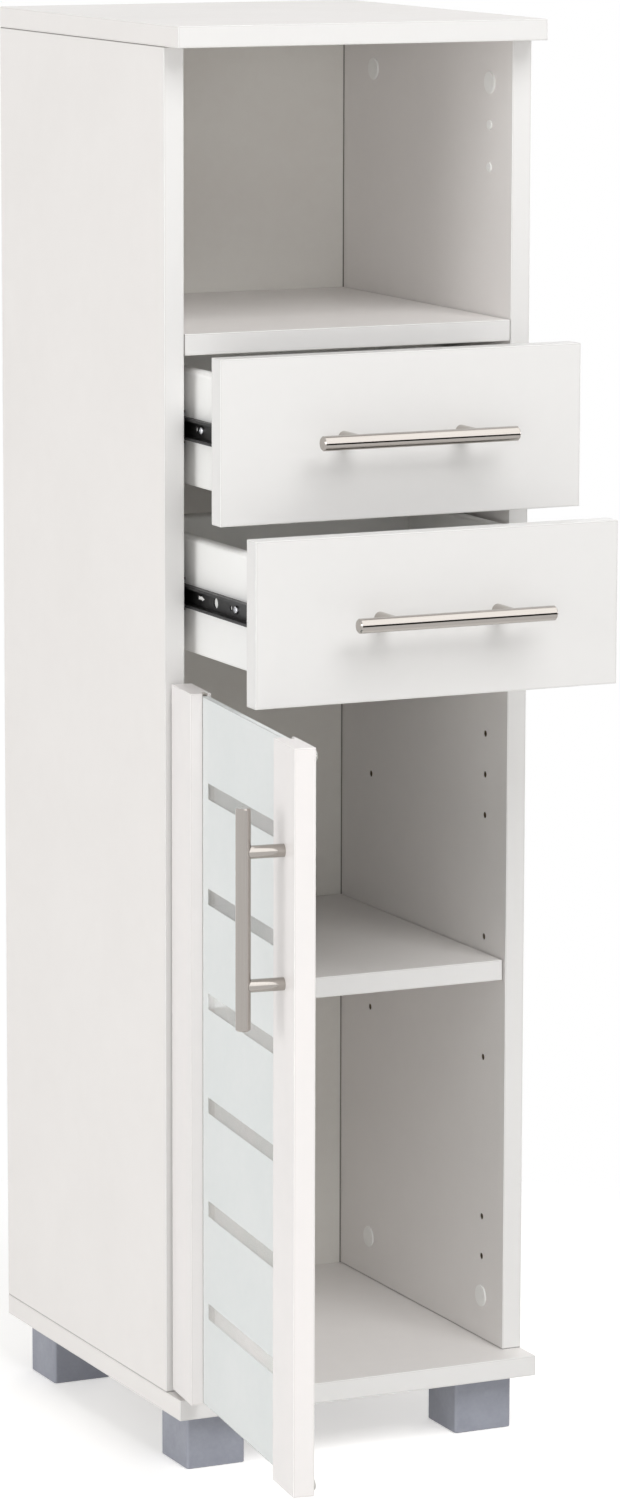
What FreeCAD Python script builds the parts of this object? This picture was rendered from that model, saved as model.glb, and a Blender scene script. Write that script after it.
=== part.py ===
"""A tall narrow bathroom cabinet: an open niche, two drawers on ball slides and a glazed door, on block feet.

Millimetres. X runs to the right, Y to the back and Z up, with the origin on the floor under the middle of
the base panel. The drawers stand part open and the door wide open, which is the pose at rest. Paired
pieces are shaped on the left and mirrored to the right.
"""
import FreeCAD
import Part
import os

# Carcass boards
cabinet_width = 303.0
board = 16.0
side_depth = 315.0
front_overhang = 26.0
board_edge_radius = 0.6
back_panel_thickness = 3.0
back_panel_inset = 19.0
groove_depth = 7.0
groove_gap = 0.2

# Feet
foot_height = 44.0
foot_width = 48.5
foot_side_inset = 13.0
foot_end_inset = 16.5
foot_corner_radius = 2.5
foot_rim_radius = 1.0
foot_web = 8.0
foot_bore_diameter = 12.0

# Door and drawer fronts, from the base upwards
closed_gap = 3.0
front_gap = 3.0
front_reveal = 4.0
front_thickness = 16.0
door_height = 543.0
drawer_front_height = 122.5
shelf_reveal = 9.5
niche_height = 211.5

# Pose at rest, the drawers' travel out and the door's angle from closed
upper_drawer_opening = 72.5
lower_drawer_opening = 134.0
door_opening_degrees = 97.0

# Holes in the sides, shelf holes on a raster counted from the middle of the door
hole_pitch = 32.0
row_front_inset = 37.0
row_rear_inset = 54.0
pin_hole_diameter = 5.0
pin_hole_depth = 11.0
pin_hole_end_gap = 1.0
front_row_shares = (-1.5, 1.5, 4.5)
rear_row_shares = (-1.5, 4.5)
shelf_pin_share = 0.5
niche_hole_shares = (1.0, 2.0)

# Fits and cuts
fastener_gap = 0.05
overrun = 1.0

# Cam fittings, cover caps and dowels of the carcass
cam_setback = 34.5
cam_diameter = 15.0
cam_floor = 1.0
cam_gap = 0.2
cam_sink = 0.5
cam_socket_diameter = 5.0
cam_socket_depth = 3.0
bolt_diameter = 6.0
bolt_bite = 11.0
bolt_neck_diameter = 4.0
bolt_head_diameter = 6.6
bolt_bore_diameter = 7.0
cap_diameter = 17.0
cap_thickness = 1.2
cap_edge_radius = 0.5
cap_peg_length = 2.5
dowel_diameter = 8.0
dowel_length = 30.0
dowel_bite = 10.0
plug_head_diameter = 7.0
plug_head_thickness = 1.0

# Adjustable shelf and its pins
shelf_setback = 3.0
shelf_side_gap = 1.0
shelf_rear_gap = 2.0
shelf_pin_reach = 8.0
shelf_pin_width = 7.0
shelf_pin_lift = 4.0
shelf_pin_drop = 2.5

# Drawer boxes
drawer_side_thickness = 12.0
drawer_side_reveal = 18.25
drawer_side_radius = 4.0
drawer_rear_clearance = 20.0
drawer_bottom_thickness = 3.0
drawer_bottom_lift = 8.0
drawer_groove_depth = 5.0
drawer_dowel_diameter = 6.0
drawer_dowel_length = 24.0
drawer_dowel_front_bite = 10.0
drawer_dowel_side_bite = 8.0
drawer_dowel_shares = (-0.2, 0.2)

# Ball slides
slide_height = 25.0
slide_shortfall = 25.0
rail_front_inset = 18.0
drawer_rail_gap = 1.0
rail_wall = 1.2
rail_lip = 0.8
rail_lip_height = 0.9
rail_lip_gap = 1.3
cage_wall = 0.7
cage_gap = 0.3
cage_end = 3.0
cage_travel_share = 0.5
ball_diameter = 3.6
ball_gap = 0.2
ball_side_gap = 0.3
ball_pitch = 9.0
ball_count = 4
drawer_rail_front_screw = 62.0
drawer_rail_rear_screw = 40.0
cabinet_rail_front_screw = 35.0
cabinet_rail_rear_screw = 60.0
sight_hole_place = 99.0
sight_hole_diameter = 8.0
small_hole_place = 72.0
small_hole_diameter = 4.0
arrow_hole_place = 119.0
arrow_hole_length = 13.0
arrow_hole_height = 5.6
arrow_tail_share = 0.45
arrow_tail_height_share = 0.5

# Small screws of rails and hinge cups
small_screw_head_diameter = 6.5
small_screw_head_height = 1.8
small_screw_diameter = 3.5
small_screw_length = 11.0
screw_tip_share = 0.3
screw_slot_share = 0.18
screw_slot_depth_share = 0.6

# Foot screws
foot_screw_head_diameter = 8.0
foot_screw_head_height = 2.5
foot_screw_diameter = 4.0
foot_screw_bite = 12.0

# Bar handles
handle_bar_diameter = 11.0
handle_bar_length = 160.0
handle_bar_chamfer = 1.0
handle_post_diameter = 9.5
handle_post_spacing = 96.0
handle_standoff = 30.0
handle_screw_diameter = 4.0
handle_screw_head_diameter = 8.0
handle_screw_head_height = 2.5
handle_screw_bite = 10.0
door_handle_drop = 124.5

# Door
stile_width = 48.0
glass_thickness = 4.0
glass_recess = 9.4
glass_groove_depth = 8.0
glass_edge_gap = 1.0
glass_end_gap = 2.0
glass_gap = 0.1
bumper_diameter = 8.0
bumper_gap = 1.2
bumper_edge_inset = 6.5
bumper_end_inset = 7.0

# Concealed hinges
hinge_end_inset = 79.5
hinge_pin_edge = 7.0
hinge_pin_depth = 8.0
hinge_pin_diameter = 3.0
hinge_pin_gap = 0.05
hinge_cup_diameter = 26.0
hinge_cup_edge = 3.0
hinge_cup_depth = 11.3
hinge_cup_wall = 0.8
hinge_cup_gap = 0.1
hinge_ear_thickness = 2.0
hinge_ear_half_length = 2.6
hinge_flange_thickness = 1.0
hinge_flange_height = 48.0
hinge_flange_corner = 4.0
hinge_cup_screw_spacing = 38.0
hinge_eye_wall = 0.85
hinge_eye_width = 5.6
hinge_hook_thickness = 2.2
hinge_neck_thickness = 4.0
hinge_arm_length = 58.0
hinge_arm_thickness = 6.0
hinge_arm_height = 12.0
hinge_arm_screw_diameter = 4.0
hinge_arm_screw_head_diameter = 7.5
hinge_arm_screw_head_height = 2.0
hinge_arm_screw_end_gap = 1.0
hinge_arm_screw_place_share = 0.72
hinge_plate_thickness = 2.0
hinge_plate_length = 44.0
hinge_plate_wing_width = 13.0
hinge_plate_corner = 4.0
hinge_pad_height = 6.5
hinge_plate_screw_head_diameter = 8.0
hinge_plate_screw_head_height = 2.0

# Places that follow from the sizes above
V = FreeCAD.Vector
right = V(1, 0, 0)
back = V(0, 1, 0)
up = V(0, 0, 1)
outer_half = cabinet_width / 2
inner_half = outer_half - board
panel_depth = side_depth + front_overhang
panel_front = -panel_depth / 2
panel_rear = panel_depth / 2
side_front = panel_front + front_overhang
back_panel_front = panel_rear - back_panel_inset - back_panel_thickness
row_front = side_front + row_front_inset
row_rear = back_panel_front - row_rear_inset
row_middle = (row_front + row_rear) / 2
pin_bite = pin_hole_depth - pin_hole_end_gap

front_half = outer_half - front_reveal
closed_rear = side_front - closed_gap
closed_front = closed_rear - front_thickness
base_top = foot_height + board
door_bottom = base_top + front_gap
door_top = door_bottom + door_height
door_middle = (door_bottom + door_top) / 2
lower_front_bottom = door_top + front_gap
upper_front_bottom = lower_front_bottom + drawer_front_height + front_gap
niche_floor = upper_front_bottom + drawer_front_height + shelf_reveal
niche_shelf_under = niche_floor - board
top_under = niche_floor + niche_height
cabinet_height = top_under + board

drawer_side_height = drawer_front_height - 2 * drawer_side_reveal
drawer_rail_height = slide_height - 2 * (rail_wall + ball_diameter + 2 * ball_gap)
drawer_rail_reach = rail_wall + 2 * cage_gap + cage_wall
ball_radius = ball_diameter / 2
ball_level = drawer_rail_height / 2 + ball_gap + ball_radius
ball_offset = drawer_rail_reach + rail_lip + ball_side_gap + ball_radius
cabinet_rail_reach = ball_offset + ball_radius + ball_side_gap + rail_wall
slide_thickness = cabinet_rail_reach + rail_lip_gap
drawer_half = inner_half - slide_thickness
drawer_rear = back_panel_front - drawer_rear_clearance
drawer_length = drawer_rear - closed_rear
slide_length = drawer_length - slide_shortfall
cage_length = ball_count * ball_pitch + 2 * cage_end

hinge_pivot = V(-front_half + hinge_pin_edge, closed_rear - hinge_pin_depth, 0)
hinge_cup_middle = -front_half + hinge_cup_edge + hinge_cup_diameter / 2
hinge_levels = (door_bottom + hinge_end_inset, door_top - hinge_end_inset)
hinge_pad_top = -inner_half + hinge_pad_height
hinge_neck_offset = hinge_pad_top - hinge_pivot.x
hinge_arm_start = side_front - hinge_pivot.y

parts = {}


def block(x0, x1, y0, y1, z0, z1):
    """A square-edged box between two corners."""
    return Part.makeBox(x1 - x0, y1 - y0, z1 - z0, V(x0, y0, z0))


def panel(x0, x1, y0, y1, z0, z1):
    """A board whose edges are slightly eased."""
    plain = block(x0, x1, y0, y1, z0, z1)
    return plain.makeFillet(board_edge_radius, plain.Edges)


def rod(diameter, length, start, direction):
    """A round bar from a start point along a direction."""
    return Part.makeCylinder(diameter / 2, length, start, direction)


def hole(diameter, depth, mouth, direction):
    """A round cutter that starts a little outside the mouth of its hole."""
    return rod(diameter + 2 * fastener_gap, depth + overrun, mouth - direction * overrun, direction)


def prism(points, sweep):
    """A solid swept from a flat outline of points along a vector."""
    outline = Part.makePolygon(points + points[:1])
    return Part.Face(outline).extrude(sweep)


def mirrored(shape):
    """The right-hand twin of a left-hand shape."""
    return shape.mirror(V(0, 0, 0), right)


def with_twins(shapes):
    """Left-hand shapes followed by their right-hand twins."""
    return shapes + [mirrored(shape) for shape in shapes]


def group(shapes):
    """Separate solids that share one node."""
    return Part.makeCompound(shapes)


def placed(shape, seat, direction):
    """A fastener drawn along Z, moved to its seat and pointed along a direction."""
    copy = shape.copy()
    copy.Placement = FreeCAD.Placement(seat, FreeCAD.Rotation(up, direction))
    return copy


def slotted_head_screw(head_diameter, head_height, diameter, length):
    """A pan-head screw with a cross recess, its shank along Z and its head below zero."""
    tip = diameter * screw_tip_share
    head = rod(head_diameter, head_height, V(0, 0, -head_height), up)
    rim = [edge for edge in head.Edges if edge.BoundBox.ZMax < -head_height / 2]
    head = head.makeFillet(head_height / 2, rim)
    shank = rod(diameter, length - tip, V(0, 0, 0), up)
    point = Part.makeCone(diameter / 2, diameter * screw_tip_share, tip, V(0, 0, length - tip), up)
    slot = head_diameter * screw_slot_share
    reach = head_diameter * screw_slot_depth_share / 2
    floor = -head_height * screw_slot_depth_share
    cross = [
        block(-reach, reach, -slot / 2, slot / 2, -head_height - overrun, floor),
        block(-slot / 2, slot / 2, -reach, reach, -head_height - overrun, floor),
    ]
    return head.fuse([shank, point]).removeSplitter().cut(cross)


def flush_screw(head_diameter, head_height, diameter, length):
    """A countersunk screw along Z whose flat head lies in the plane of zero."""
    head = Part.makeCone(head_diameter / 2, diameter / 2, head_height, V(0, 0, 0), up)
    shank = rod(diameter, length - head_height, V(0, 0, head_height), up)
    slot = head_diameter * screw_slot_share
    reach = head_diameter * screw_slot_depth_share / 2
    floor = head_height * screw_slot_depth_share
    cross = [
        block(-reach, reach, -slot / 2, slot / 2, -overrun, floor),
        block(-slot / 2, slot / 2, -reach, reach, -overrun, floor),
    ]
    return head.fuse(shank).removeSplitter().cut(cross)


def flush_screw_hole(head_diameter, head_height, diameter, length):
    """The cutter for a countersunk screw, along Z from the plane of zero."""
    wide = head_diameter / 2 + fastener_gap
    narrow = diameter / 2 + fastener_gap
    cone = Part.makeCone(wide, narrow, head_height, V(0, 0, 0), up)
    shank = rod(2 * narrow, length - head_height + fastener_gap, V(0, 0, head_height), up)
    return cone.fuse([shank, rod(2 * wide, overrun, V(0, 0, -overrun), up)])


# Cam fittings

cam_pocket = bolt_head_diameter / 2 + cam_gap
cam_depth = board / 2 + cam_pocket + cam_floor
bolt_neck_start = cam_setback - cam_diameter / 2 - cam_gap
bolt_head_start = cam_setback - cam_pocket + cam_gap


def cam_lock():
    """A cam drum let into a face at zero along Z, its bolt coming in along X."""
    radius = cam_diameter / 2 - cam_gap
    drum = rod(2 * radius, cam_depth - cam_gap - cam_sink, V(0, 0, cam_sink), up)
    level = board / 2
    neck = bolt_neck_diameter / 2 + cam_gap
    cuts = [
        block(-cam_pocket, cam_pocket, -cam_pocket, cam_pocket, level - cam_pocket, level + cam_pocket),
        block(0, radius + overrun, -neck, neck, level - neck, level + neck),
        rod(cam_socket_diameter, cam_socket_depth + overrun, V(0, 0, cam_sink - overrun), up),
    ]
    return drum.cut(cuts)


def cam_bolt():
    """A bolt along Z: its thread below zero in one board, its neck and head in the other board's cam."""
    thread = rod(bolt_diameter, bolt_bite + bolt_neck_start, V(0, 0, -bolt_bite), up)
    neck = rod(bolt_neck_diameter, bolt_head_start - bolt_neck_start, V(0, 0, bolt_neck_start), up)
    head = rod(bolt_head_diameter, cam_pocket, V(0, 0, bolt_head_start), up)
    return thread.fuse([neck, head]).removeSplitter()


def cam_cap():
    """A cover cap on a face at zero, its peg along Z in the cam's socket."""
    disc = rod(cap_diameter, cap_thickness, V(0, 0, -cap_thickness), up)
    rim = [edge for edge in disc.Edges if edge.BoundBox.ZMax < -cap_thickness / 2]
    disc = disc.makeFillet(cap_edge_radius, rim)
    peg = rod(cam_socket_diameter - 2 * cam_gap, cap_peg_length, V(0, 0, 0), up)
    return disc.fuse(peg).removeSplitter()


def turned(shape, seat, depth_direction, bolt_direction):
    """A cam drum moved to its face, with the slot towards its bolt."""
    copy = shape.copy()
    across = depth_direction.cross(bolt_direction)
    turn = FreeCAD.Rotation(bolt_direction, across, depth_direction, "ZXY")
    copy.Placement = FreeCAD.Placement(seat, turn)
    return copy


left = right * -1
down = up * -1
front = back * -1
left_side_cuts = []
niche_shelf_cuts = []
top_cuts = []
base_cuts = []
cam_locks = []
cam_bolts = []
cam_caps = []
dowels = []
side_axis = -inner_half - board / 2
shelf_level = niche_floor - board / 2


def carcass_cams():
    """Cams, bolts and caps where the left side meets the top and the base, and where the shelf meets it."""
    for y in (row_front, row_rear):
        for end, towards, board_cuts in ((base_top, down, base_cuts), (top_under, up, top_cuts)):
            inward = towards * -1
            joint = V(side_axis, y, end)
            face = V(-inner_half, y, end) + inward * cam_setback
            cam_locks.append(turned(cam_lock(), face, left, towards))
            cam_bolts.append(placed(cam_bolt(), joint, inward))
            cam_caps.append(placed(cam_cap(), face, left))
            left_side_cuts.append(hole(cam_diameter, cam_depth, face, left))
            left_side_cuts.append(hole(bolt_bore_diameter, cam_setback, joint, inward))
            board_cuts.append(hole(bolt_diameter, bolt_bite, joint, towards))
        joint = V(-inner_half, y, shelf_level)
        face = V(-inner_half + cam_setback, y, niche_shelf_under)
        cam_locks.append(turned(cam_lock(), face, up, left))
        cam_bolts.append(placed(cam_bolt(), joint, right))
        niche_shelf_cuts.append(hole(cam_diameter, cam_depth, face, up))
        niche_shelf_cuts.append(hole(bolt_bore_diameter, cam_setback, joint, right))
        left_side_cuts.append(hole(bolt_diameter, bolt_bite, joint, left))


def carcass_dowels():
    """A dowel in the middle of each joint of the left side."""
    rest = dowel_length - dowel_bite
    joints = (
        (V(side_axis, row_middle, base_top), down, base_cuts, left_side_cuts),
        (V(side_axis, row_middle, top_under), up, top_cuts, left_side_cuts),
        (V(-inner_half, row_middle, shelf_level), left, left_side_cuts, niche_shelf_cuts),
    )
    for joint, towards, bite_cuts, rest_cuts in joints:
        inward = towards * -1
        dowels.append(rod(dowel_diameter, dowel_length, joint + towards * dowel_bite, inward))
        bite_cuts.append(hole(dowel_diameter, dowel_bite, joint, towards))
        rest_cuts.append(hole(dowel_diameter, rest, joint, inward))


def side_holes():
    """Shelf-pin, hinge-plate and niche holes in the left side."""
    levels = [(row_front, door_middle + share * hole_pitch) for share in front_row_shares]
    levels += [(row_rear, door_middle + share * hole_pitch) for share in rear_row_shares]
    levels += [(y, door_middle + shelf_pin_share * hole_pitch) for y in (row_front, row_rear)]
    for level in hinge_levels:
        levels += [(row_front, level - hole_pitch / 2), (row_front, level + hole_pitch / 2)]
    levels += [(row_front, top_under - cam_setback - share * hole_pitch) for share in niche_hole_shares]
    for y, z in levels:
        left_side_cuts.append(hole(pin_hole_diameter, pin_hole_depth, V(-inner_half, y, z), left))


def hole_plugs():
    """Small plugs in the unused holes of the niche."""
    plugs = []
    for share in niche_hole_shares:
        seat = V(-inner_half, row_front, top_under - cam_setback - share * hole_pitch)
        head = rod(plug_head_diameter, plug_head_thickness, seat, right)
        plugs.append(head.fuse(rod(pin_hole_diameter, pin_bite, seat, left)).removeSplitter())
    return plugs


def shelf_pins():
    """Pins with a flat support block, in the left side under the adjustable shelf."""
    pins = []
    level = door_middle + shelf_pin_share * hole_pitch
    for y in (row_front, row_rear):
        shank = rod(pin_hole_diameter, pin_bite, V(-inner_half, y, level), left)
        support = block(
            -inner_half,
            -inner_half + shelf_pin_reach,
            y - shelf_pin_width / 2,
            y + shelf_pin_width / 2,
            level - shelf_pin_drop,
            level + shelf_pin_lift,
        )
        pins.append(support.fuse(shank))
    return pins


# Slides

def slide_x(offset):
    """The place across the left slide, counted from the cabinet side's inner face."""
    return -inner_half + offset


def slide_profile(points, start, length, level):
    """A rolled profile of (offset, height) points, extruded along Y."""
    corners = [V(slide_x(offset), start, level + height) for offset, height in points]
    return prism(corners, back * length)


def cabinet_rail(level):
    """The left cabinet rail, a channel with lips that keep the balls in, and its screws."""
    half = slide_height / 2
    end = cabinet_rail_reach
    lip = half - rail_wall - rail_lip_height
    upper = [
        (rail_wall, half - rail_wall),
        (end - rail_wall, half - rail_wall),
        (end - rail_wall, lip),
        (end, lip),
        (end, half),
        (0, half),
    ]
    lower = [(offset, -height) for offset, height in reversed(upper)]
    start = side_front + rail_front_inset
    rail = slide_profile(lower + upper, start, slide_length, level)
    sizes = (small_screw_head_diameter, small_screw_head_height, small_screw_diameter, small_screw_length)
    screws = []
    for place in (cabinet_rail_front_screw, slide_length - cabinet_rail_rear_screw):
        seat = V(slide_x(rail_wall), start + place, level)
        screws.append(placed(flush_screw(*sizes), seat, left))
        cutter = placed(flush_screw_hole(*sizes), seat, left)
        rail = rail.cut(cutter)
        left_side_cuts.append(cutter)
    return rail, screws


def arrow_hole(start, level):
    """A pointed opening in the drawer rail's web, its tip towards the front."""
    tip = start + arrow_hole_place
    neck = tip + arrow_hole_length * (1 - arrow_tail_share)
    tail = tip + arrow_hole_length
    half = arrow_hole_height / 2
    narrow = half * arrow_tail_height_share
    x = slide_x(slide_thickness - rail_wall - overrun)
    upper = [(tip, 0), (neck, half), (neck, narrow), (tail, narrow)]
    outline = upper + [(y, -height) for y, height in reversed(upper[1:])]
    corners = [V(x, y, level + height) for y, height in outline]
    return prism(corners, right * (rail_wall + 2 * overrun))


def drawer_rail(level, side_cuts):
    """The left drawer rail with its openings, and the screws that hold it to the drawer's side."""
    half = drawer_rail_height / 2
    reach = drawer_rail_reach
    upper = [
        (slide_thickness, half),
        (reach + rail_lip, half),
        (reach + rail_lip, half + rail_lip_height),
        (reach, half + rail_lip_height),
        (reach, half - rail_wall),
        (slide_thickness - rail_wall, half - rail_wall),
    ]
    lower = [(offset, -height) for offset, height in reversed(upper)]
    start = closed_rear + drawer_rail_gap
    rail = slide_profile(upper + lower, start, slide_length, level)
    web = slide_x(slide_thickness - rail_wall)
    cuts = [arrow_hole(start, level)]
    for place, diameter in ((sight_hole_place, sight_hole_diameter), (small_hole_place, small_hole_diameter)):
        cuts.append(rod(diameter, rail_wall + 2 * overrun, V(web - overrun, start + place, level), right))
    body = slotted_head_screw(
        small_screw_head_diameter, small_screw_head_height, small_screw_diameter, small_screw_length
    )
    screws = []
    for place in (drawer_rail_front_screw, slide_length - drawer_rail_rear_screw):
        seat = V(web, start + place, level)
        screws.append(placed(body, seat, right))
        cutter = hole(small_screw_diameter, small_screw_length, seat, right)
        cuts.append(cutter)
        side_cuts.append(cutter)
    return rail.cut(cuts), screws


def ball_cage(level):
    """The left ball cage between the two rails, and its balls, with the drawer closed."""
    inner = rail_wall + cage_gap
    seat = ball_radius + ball_gap
    end = ball_offset + seat + cage_wall
    outside = ball_level + cage_wall / 2
    inside = ball_level - cage_wall / 2
    upper = [(inner + cage_wall, inside), (end, inside), (end, outside), (inner, outside)]
    lower = [(offset, -height) for offset, height in reversed(upper)]
    rails_start = side_front + rail_front_inset
    rails_end = closed_rear + drawer_rail_gap + slide_length
    middle = (rails_start + rails_end) / 2
    cage = slide_profile(lower + upper, middle - cage_length / 2, cage_length, level)
    balls = []
    pockets = []
    for row in (-ball_level, ball_level):
        for index in range(ball_count):
            y = middle + (index - (ball_count - 1) / 2) * ball_pitch
            centre = V(slide_x(ball_offset), y, level + row)
            balls.append(Part.makeSphere(ball_radius, centre))
            pockets.append(rod(2 * seat, 2 * cage_wall, centre - up * cage_wall, up))
    return cage.cut(pockets), balls


# Bar handles

def handle(name, middle, along, out):
    """A bar handle on a face: its bar, posts and screws, and the cutters for the board behind it."""
    axis = middle + out * handle_standoff
    start = axis - along * (handle_bar_length / 2)
    bar = rod(handle_bar_diameter, handle_bar_length, start, along)
    rims = [edge for edge in bar.Edges if edge.Closed]
    bar = bar.makeChamfer(handle_bar_chamfer, rims)
    saddle = rod(handle_bar_diameter + 2 * fastener_gap, handle_bar_length, start, along)
    posts = []
    screws = []
    cuts = []
    screw = slotted_head_screw(
        handle_screw_head_diameter,
        handle_screw_head_height,
        handle_screw_diameter,
        front_thickness + handle_screw_bite,
    )
    for side in (-1, 1):
        foot = middle + along * (side * handle_post_spacing / 2)
        post = rod(handle_post_diameter, handle_standoff, foot, out)
        posts.append(post.cut([saddle, hole(handle_screw_diameter, handle_screw_bite, foot, out)]))
        seat = foot - out * front_thickness
        screws.append(placed(screw, seat, out))
        cuts.append(hole(handle_screw_diameter, front_thickness + overrun, seat, out))
    pieces = {
        name + "_handle_bar": bar,
        name + "_handle_posts": group(posts),
        name + "_handle_screws": group(screws),
    }
    return pieces, cuts


# Drawers

def drawer_side(level, cuts):
    """The left side of a drawer box, its top edges rounded."""
    bottom = level - drawer_side_height / 2
    top = level + drawer_side_height / 2
    outside = -drawer_half
    plain = block(outside, outside + drawer_side_thickness, closed_rear, drawer_rear, bottom, top)
    edges = [edge for edge in plain.Edges if edge.BoundBox.ZMin > level and edge.BoundBox.XLength == 0]
    long_edges = [edge for edge in edges if edge.BoundBox.YLength > drawer_side_thickness]
    return plain.makeFillet(drawer_side_radius, long_edges).cut(cuts)


def drawer_back(level, cuts):
    """The back of a drawer box between its sides, its top edges rounded."""
    bottom = level - drawer_side_height / 2
    top = level + drawer_side_height / 2
    half = drawer_half - drawer_side_thickness
    plain = block(-half, half, drawer_rear - drawer_side_thickness, drawer_rear, bottom, top)
    edges = [edge for edge in plain.Edges if edge.BoundBox.ZMin > level]
    long_edges = [edge for edge in edges if edge.BoundBox.XLength > drawer_side_thickness]
    return plain.makeFillet(drawer_side_radius, long_edges).cut(cuts)


def drawer_dowels(level, front_cuts, side_cuts, back_cuts):
    """Dowels that join the left drawer side to the front and to the back."""
    pins = []
    side_middle = -drawer_half + drawer_side_thickness / 2
    inner_face = -drawer_half + drawer_side_thickness
    back_middle = drawer_rear - drawer_side_thickness / 2
    for share in drawer_dowel_shares:
        z = level + share * drawer_side_height
        joints = (
            (V(side_middle, closed_rear, z), front, drawer_dowel_front_bite, front_cuts, side_cuts),
            (V(inner_face, back_middle, z), left, drawer_dowel_side_bite, side_cuts, back_cuts),
        )
        for joint, towards, bite, bite_cuts, rest_cuts in joints:
            inward = towards * -1
            pins.append(rod(drawer_dowel_diameter, drawer_dowel_length, joint + towards * bite, inward))
            bite_cuts.append(hole(drawer_dowel_diameter, bite, joint, towards))
            rest_cuts.append(hole(drawer_dowel_diameter, drawer_dowel_length - bite, joint, inward))
    return pins


def drawer(name, front_bottom, opening):
    """One drawer with its slides, pulled out by its opening at rest."""
    level = front_bottom + drawer_front_height / 2
    front_top = front_bottom + drawer_front_height
    out = front * opening
    inside_half = drawer_half - drawer_side_thickness
    inside_rear = drawer_rear - drawer_side_thickness
    floor_under = level - drawer_side_height / 2 + drawer_bottom_lift
    floor_top = floor_under + drawer_bottom_thickness
    groove = block(
        -inside_half - drawer_groove_depth,
        inside_half + drawer_groove_depth,
        closed_rear - drawer_groove_depth,
        inside_rear + drawer_groove_depth,
        floor_under - groove_gap,
        floor_top + groove_gap,
    )
    bottom = block(
        -inside_half - drawer_groove_depth + groove_gap,
        inside_half + drawer_groove_depth - groove_gap,
        closed_rear - drawer_groove_depth + groove_gap,
        inside_rear + drawer_groove_depth - groove_gap,
        floor_under,
        floor_top,
    )
    pieces, front_cuts = handle(name, V(0, closed_front, level), right, front)
    side_cuts = [groove]
    back_cuts = [groove]
    pins = drawer_dowels(level, front_cuts, side_cuts, back_cuts)
    rail, rail_screws = drawer_rail(level, side_cuts)
    box_side = drawer_side(level, side_cuts)
    face = panel(-front_half, front_half, closed_front, closed_rear, front_bottom, front_top)
    pieces[name + "_front"] = face.cut(front_cuts + [mirrored(cut) for cut in front_cuts] + [groove])
    pieces[name + "_left_side"] = box_side
    pieces[name + "_right_side"] = mirrored(box_side)
    pieces[name + "_back"] = drawer_back(level, with_twins(back_cuts))
    pieces[name + "_bottom"] = bottom
    pieces[name + "_dowels"] = group(with_twins(pins))
    pieces[name + "_rails"] = group(with_twins([rail]))
    pieces[name + "_rail_screws"] = group(with_twins(rail_screws))
    for node, shape in pieces.items():
        parts[node] = shape.translated(out)
    cage, balls = ball_cage(level)
    cage_out = out * cage_travel_share
    parts[name + "_ball_cages"] = group(with_twins([cage])).translated(cage_out)
    parts[name + "_balls"] = group(with_twins(balls)).translated(cage_out)
    return cabinet_rail(level)


# Hinges

def hinge_point(offset, depth, level):
    """A point by the hinge's pin: to the right of it, and towards the back."""
    return hinge_pivot + V(offset, depth, level)


def hinge_arm(level):
    """The arm that reaches from its plate into the cup and hooks round the pin."""
    eye = hinge_pin_diameter / 2 + hinge_pin_gap + hinge_eye_wall
    low = level - hinge_eye_width / 2
    neck_end = hinge_neck_offset + hinge_neck_thickness
    hook = [
        (0, -hinge_hook_thickness),
        (neck_end - hinge_hook_thickness, -hinge_hook_thickness),
        (neck_end, 0),
        (neck_end, hinge_arm_start),
        (hinge_neck_offset, hinge_arm_start),
        (hinge_neck_offset, 0),
        (0, 0),
    ]
    corners = [hinge_point(offset, depth, low) for offset, depth in hook]
    bar = block(
        hinge_pad_top,
        hinge_pad_top + hinge_arm_thickness,
        side_front,
        side_front + hinge_arm_length,
        level - hinge_arm_height / 2,
        level + hinge_arm_height / 2,
    )
    ring = rod(2 * eye, hinge_eye_width, hinge_point(0, 0, low), up)
    bore = rod(hinge_pin_diameter + 2 * hinge_pin_gap, hinge_eye_width, hinge_point(0, 0, low), up)
    return ring.fuse([prism(corners, up * hinge_eye_width), bar]).removeSplitter().cut(bore)


def hinge_cup(level):
    """The cup in the stile, with its flange and the two ears that hold the pin, door closed."""
    middle = V(hinge_cup_middle, closed_rear, level)
    radius = hinge_cup_diameter / 2
    shell = rod(2 * radius, hinge_cup_depth, middle, front)
    cavity = rod(2 * (radius - hinge_cup_wall), hinge_cup_depth - hinge_cup_wall, middle, front)
    flange = block(
        hinge_cup_middle - radius,
        hinge_cup_middle + radius,
        closed_rear,
        closed_rear + hinge_flange_thickness,
        level - hinge_flange_height / 2,
        level + hinge_flange_height / 2,
    )
    corners = [edge for edge in flange.Edges if edge.BoundBox.YLength > 0 and edge.BoundBox.XLength == 0]
    corners = [edge for edge in corners if edge.BoundBox.ZLength == 0]
    flange = flange.makeFillet(hinge_flange_corner, corners)
    mouth = rod(2 * (radius - hinge_cup_wall), hinge_flange_thickness, middle, back)
    ears = []
    for side in (-1, 1):
        near = hinge_eye_width / 2 + hinge_cup_gap
        far = near + hinge_ear_thickness
        low, high = sorted((side * near, side * far))
        ear = block(
            hinge_pivot.x - hinge_ear_half_length,
            hinge_pivot.x + hinge_ear_half_length,
            closed_rear - hinge_cup_depth + hinge_cup_wall,
            hinge_pivot.y + hinge_ear_half_length,
            level + low,
            level + high,
        )
        ears.append(ear.common(rod(2 * radius, hinge_cup_depth, middle, front)))
    hollow = shell.fuse(flange).cut([cavity, mouth])
    pin_bore = hinge_pin_shape(level, fastener_gap)
    cuts = [pin_bore]
    for seat in cup_screw_seats(level):
        cuts.append(hole(small_screw_diameter, hinge_flange_thickness, seat, front))
    return hollow.fuse(ears).removeSplitter().cut(cuts)


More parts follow.
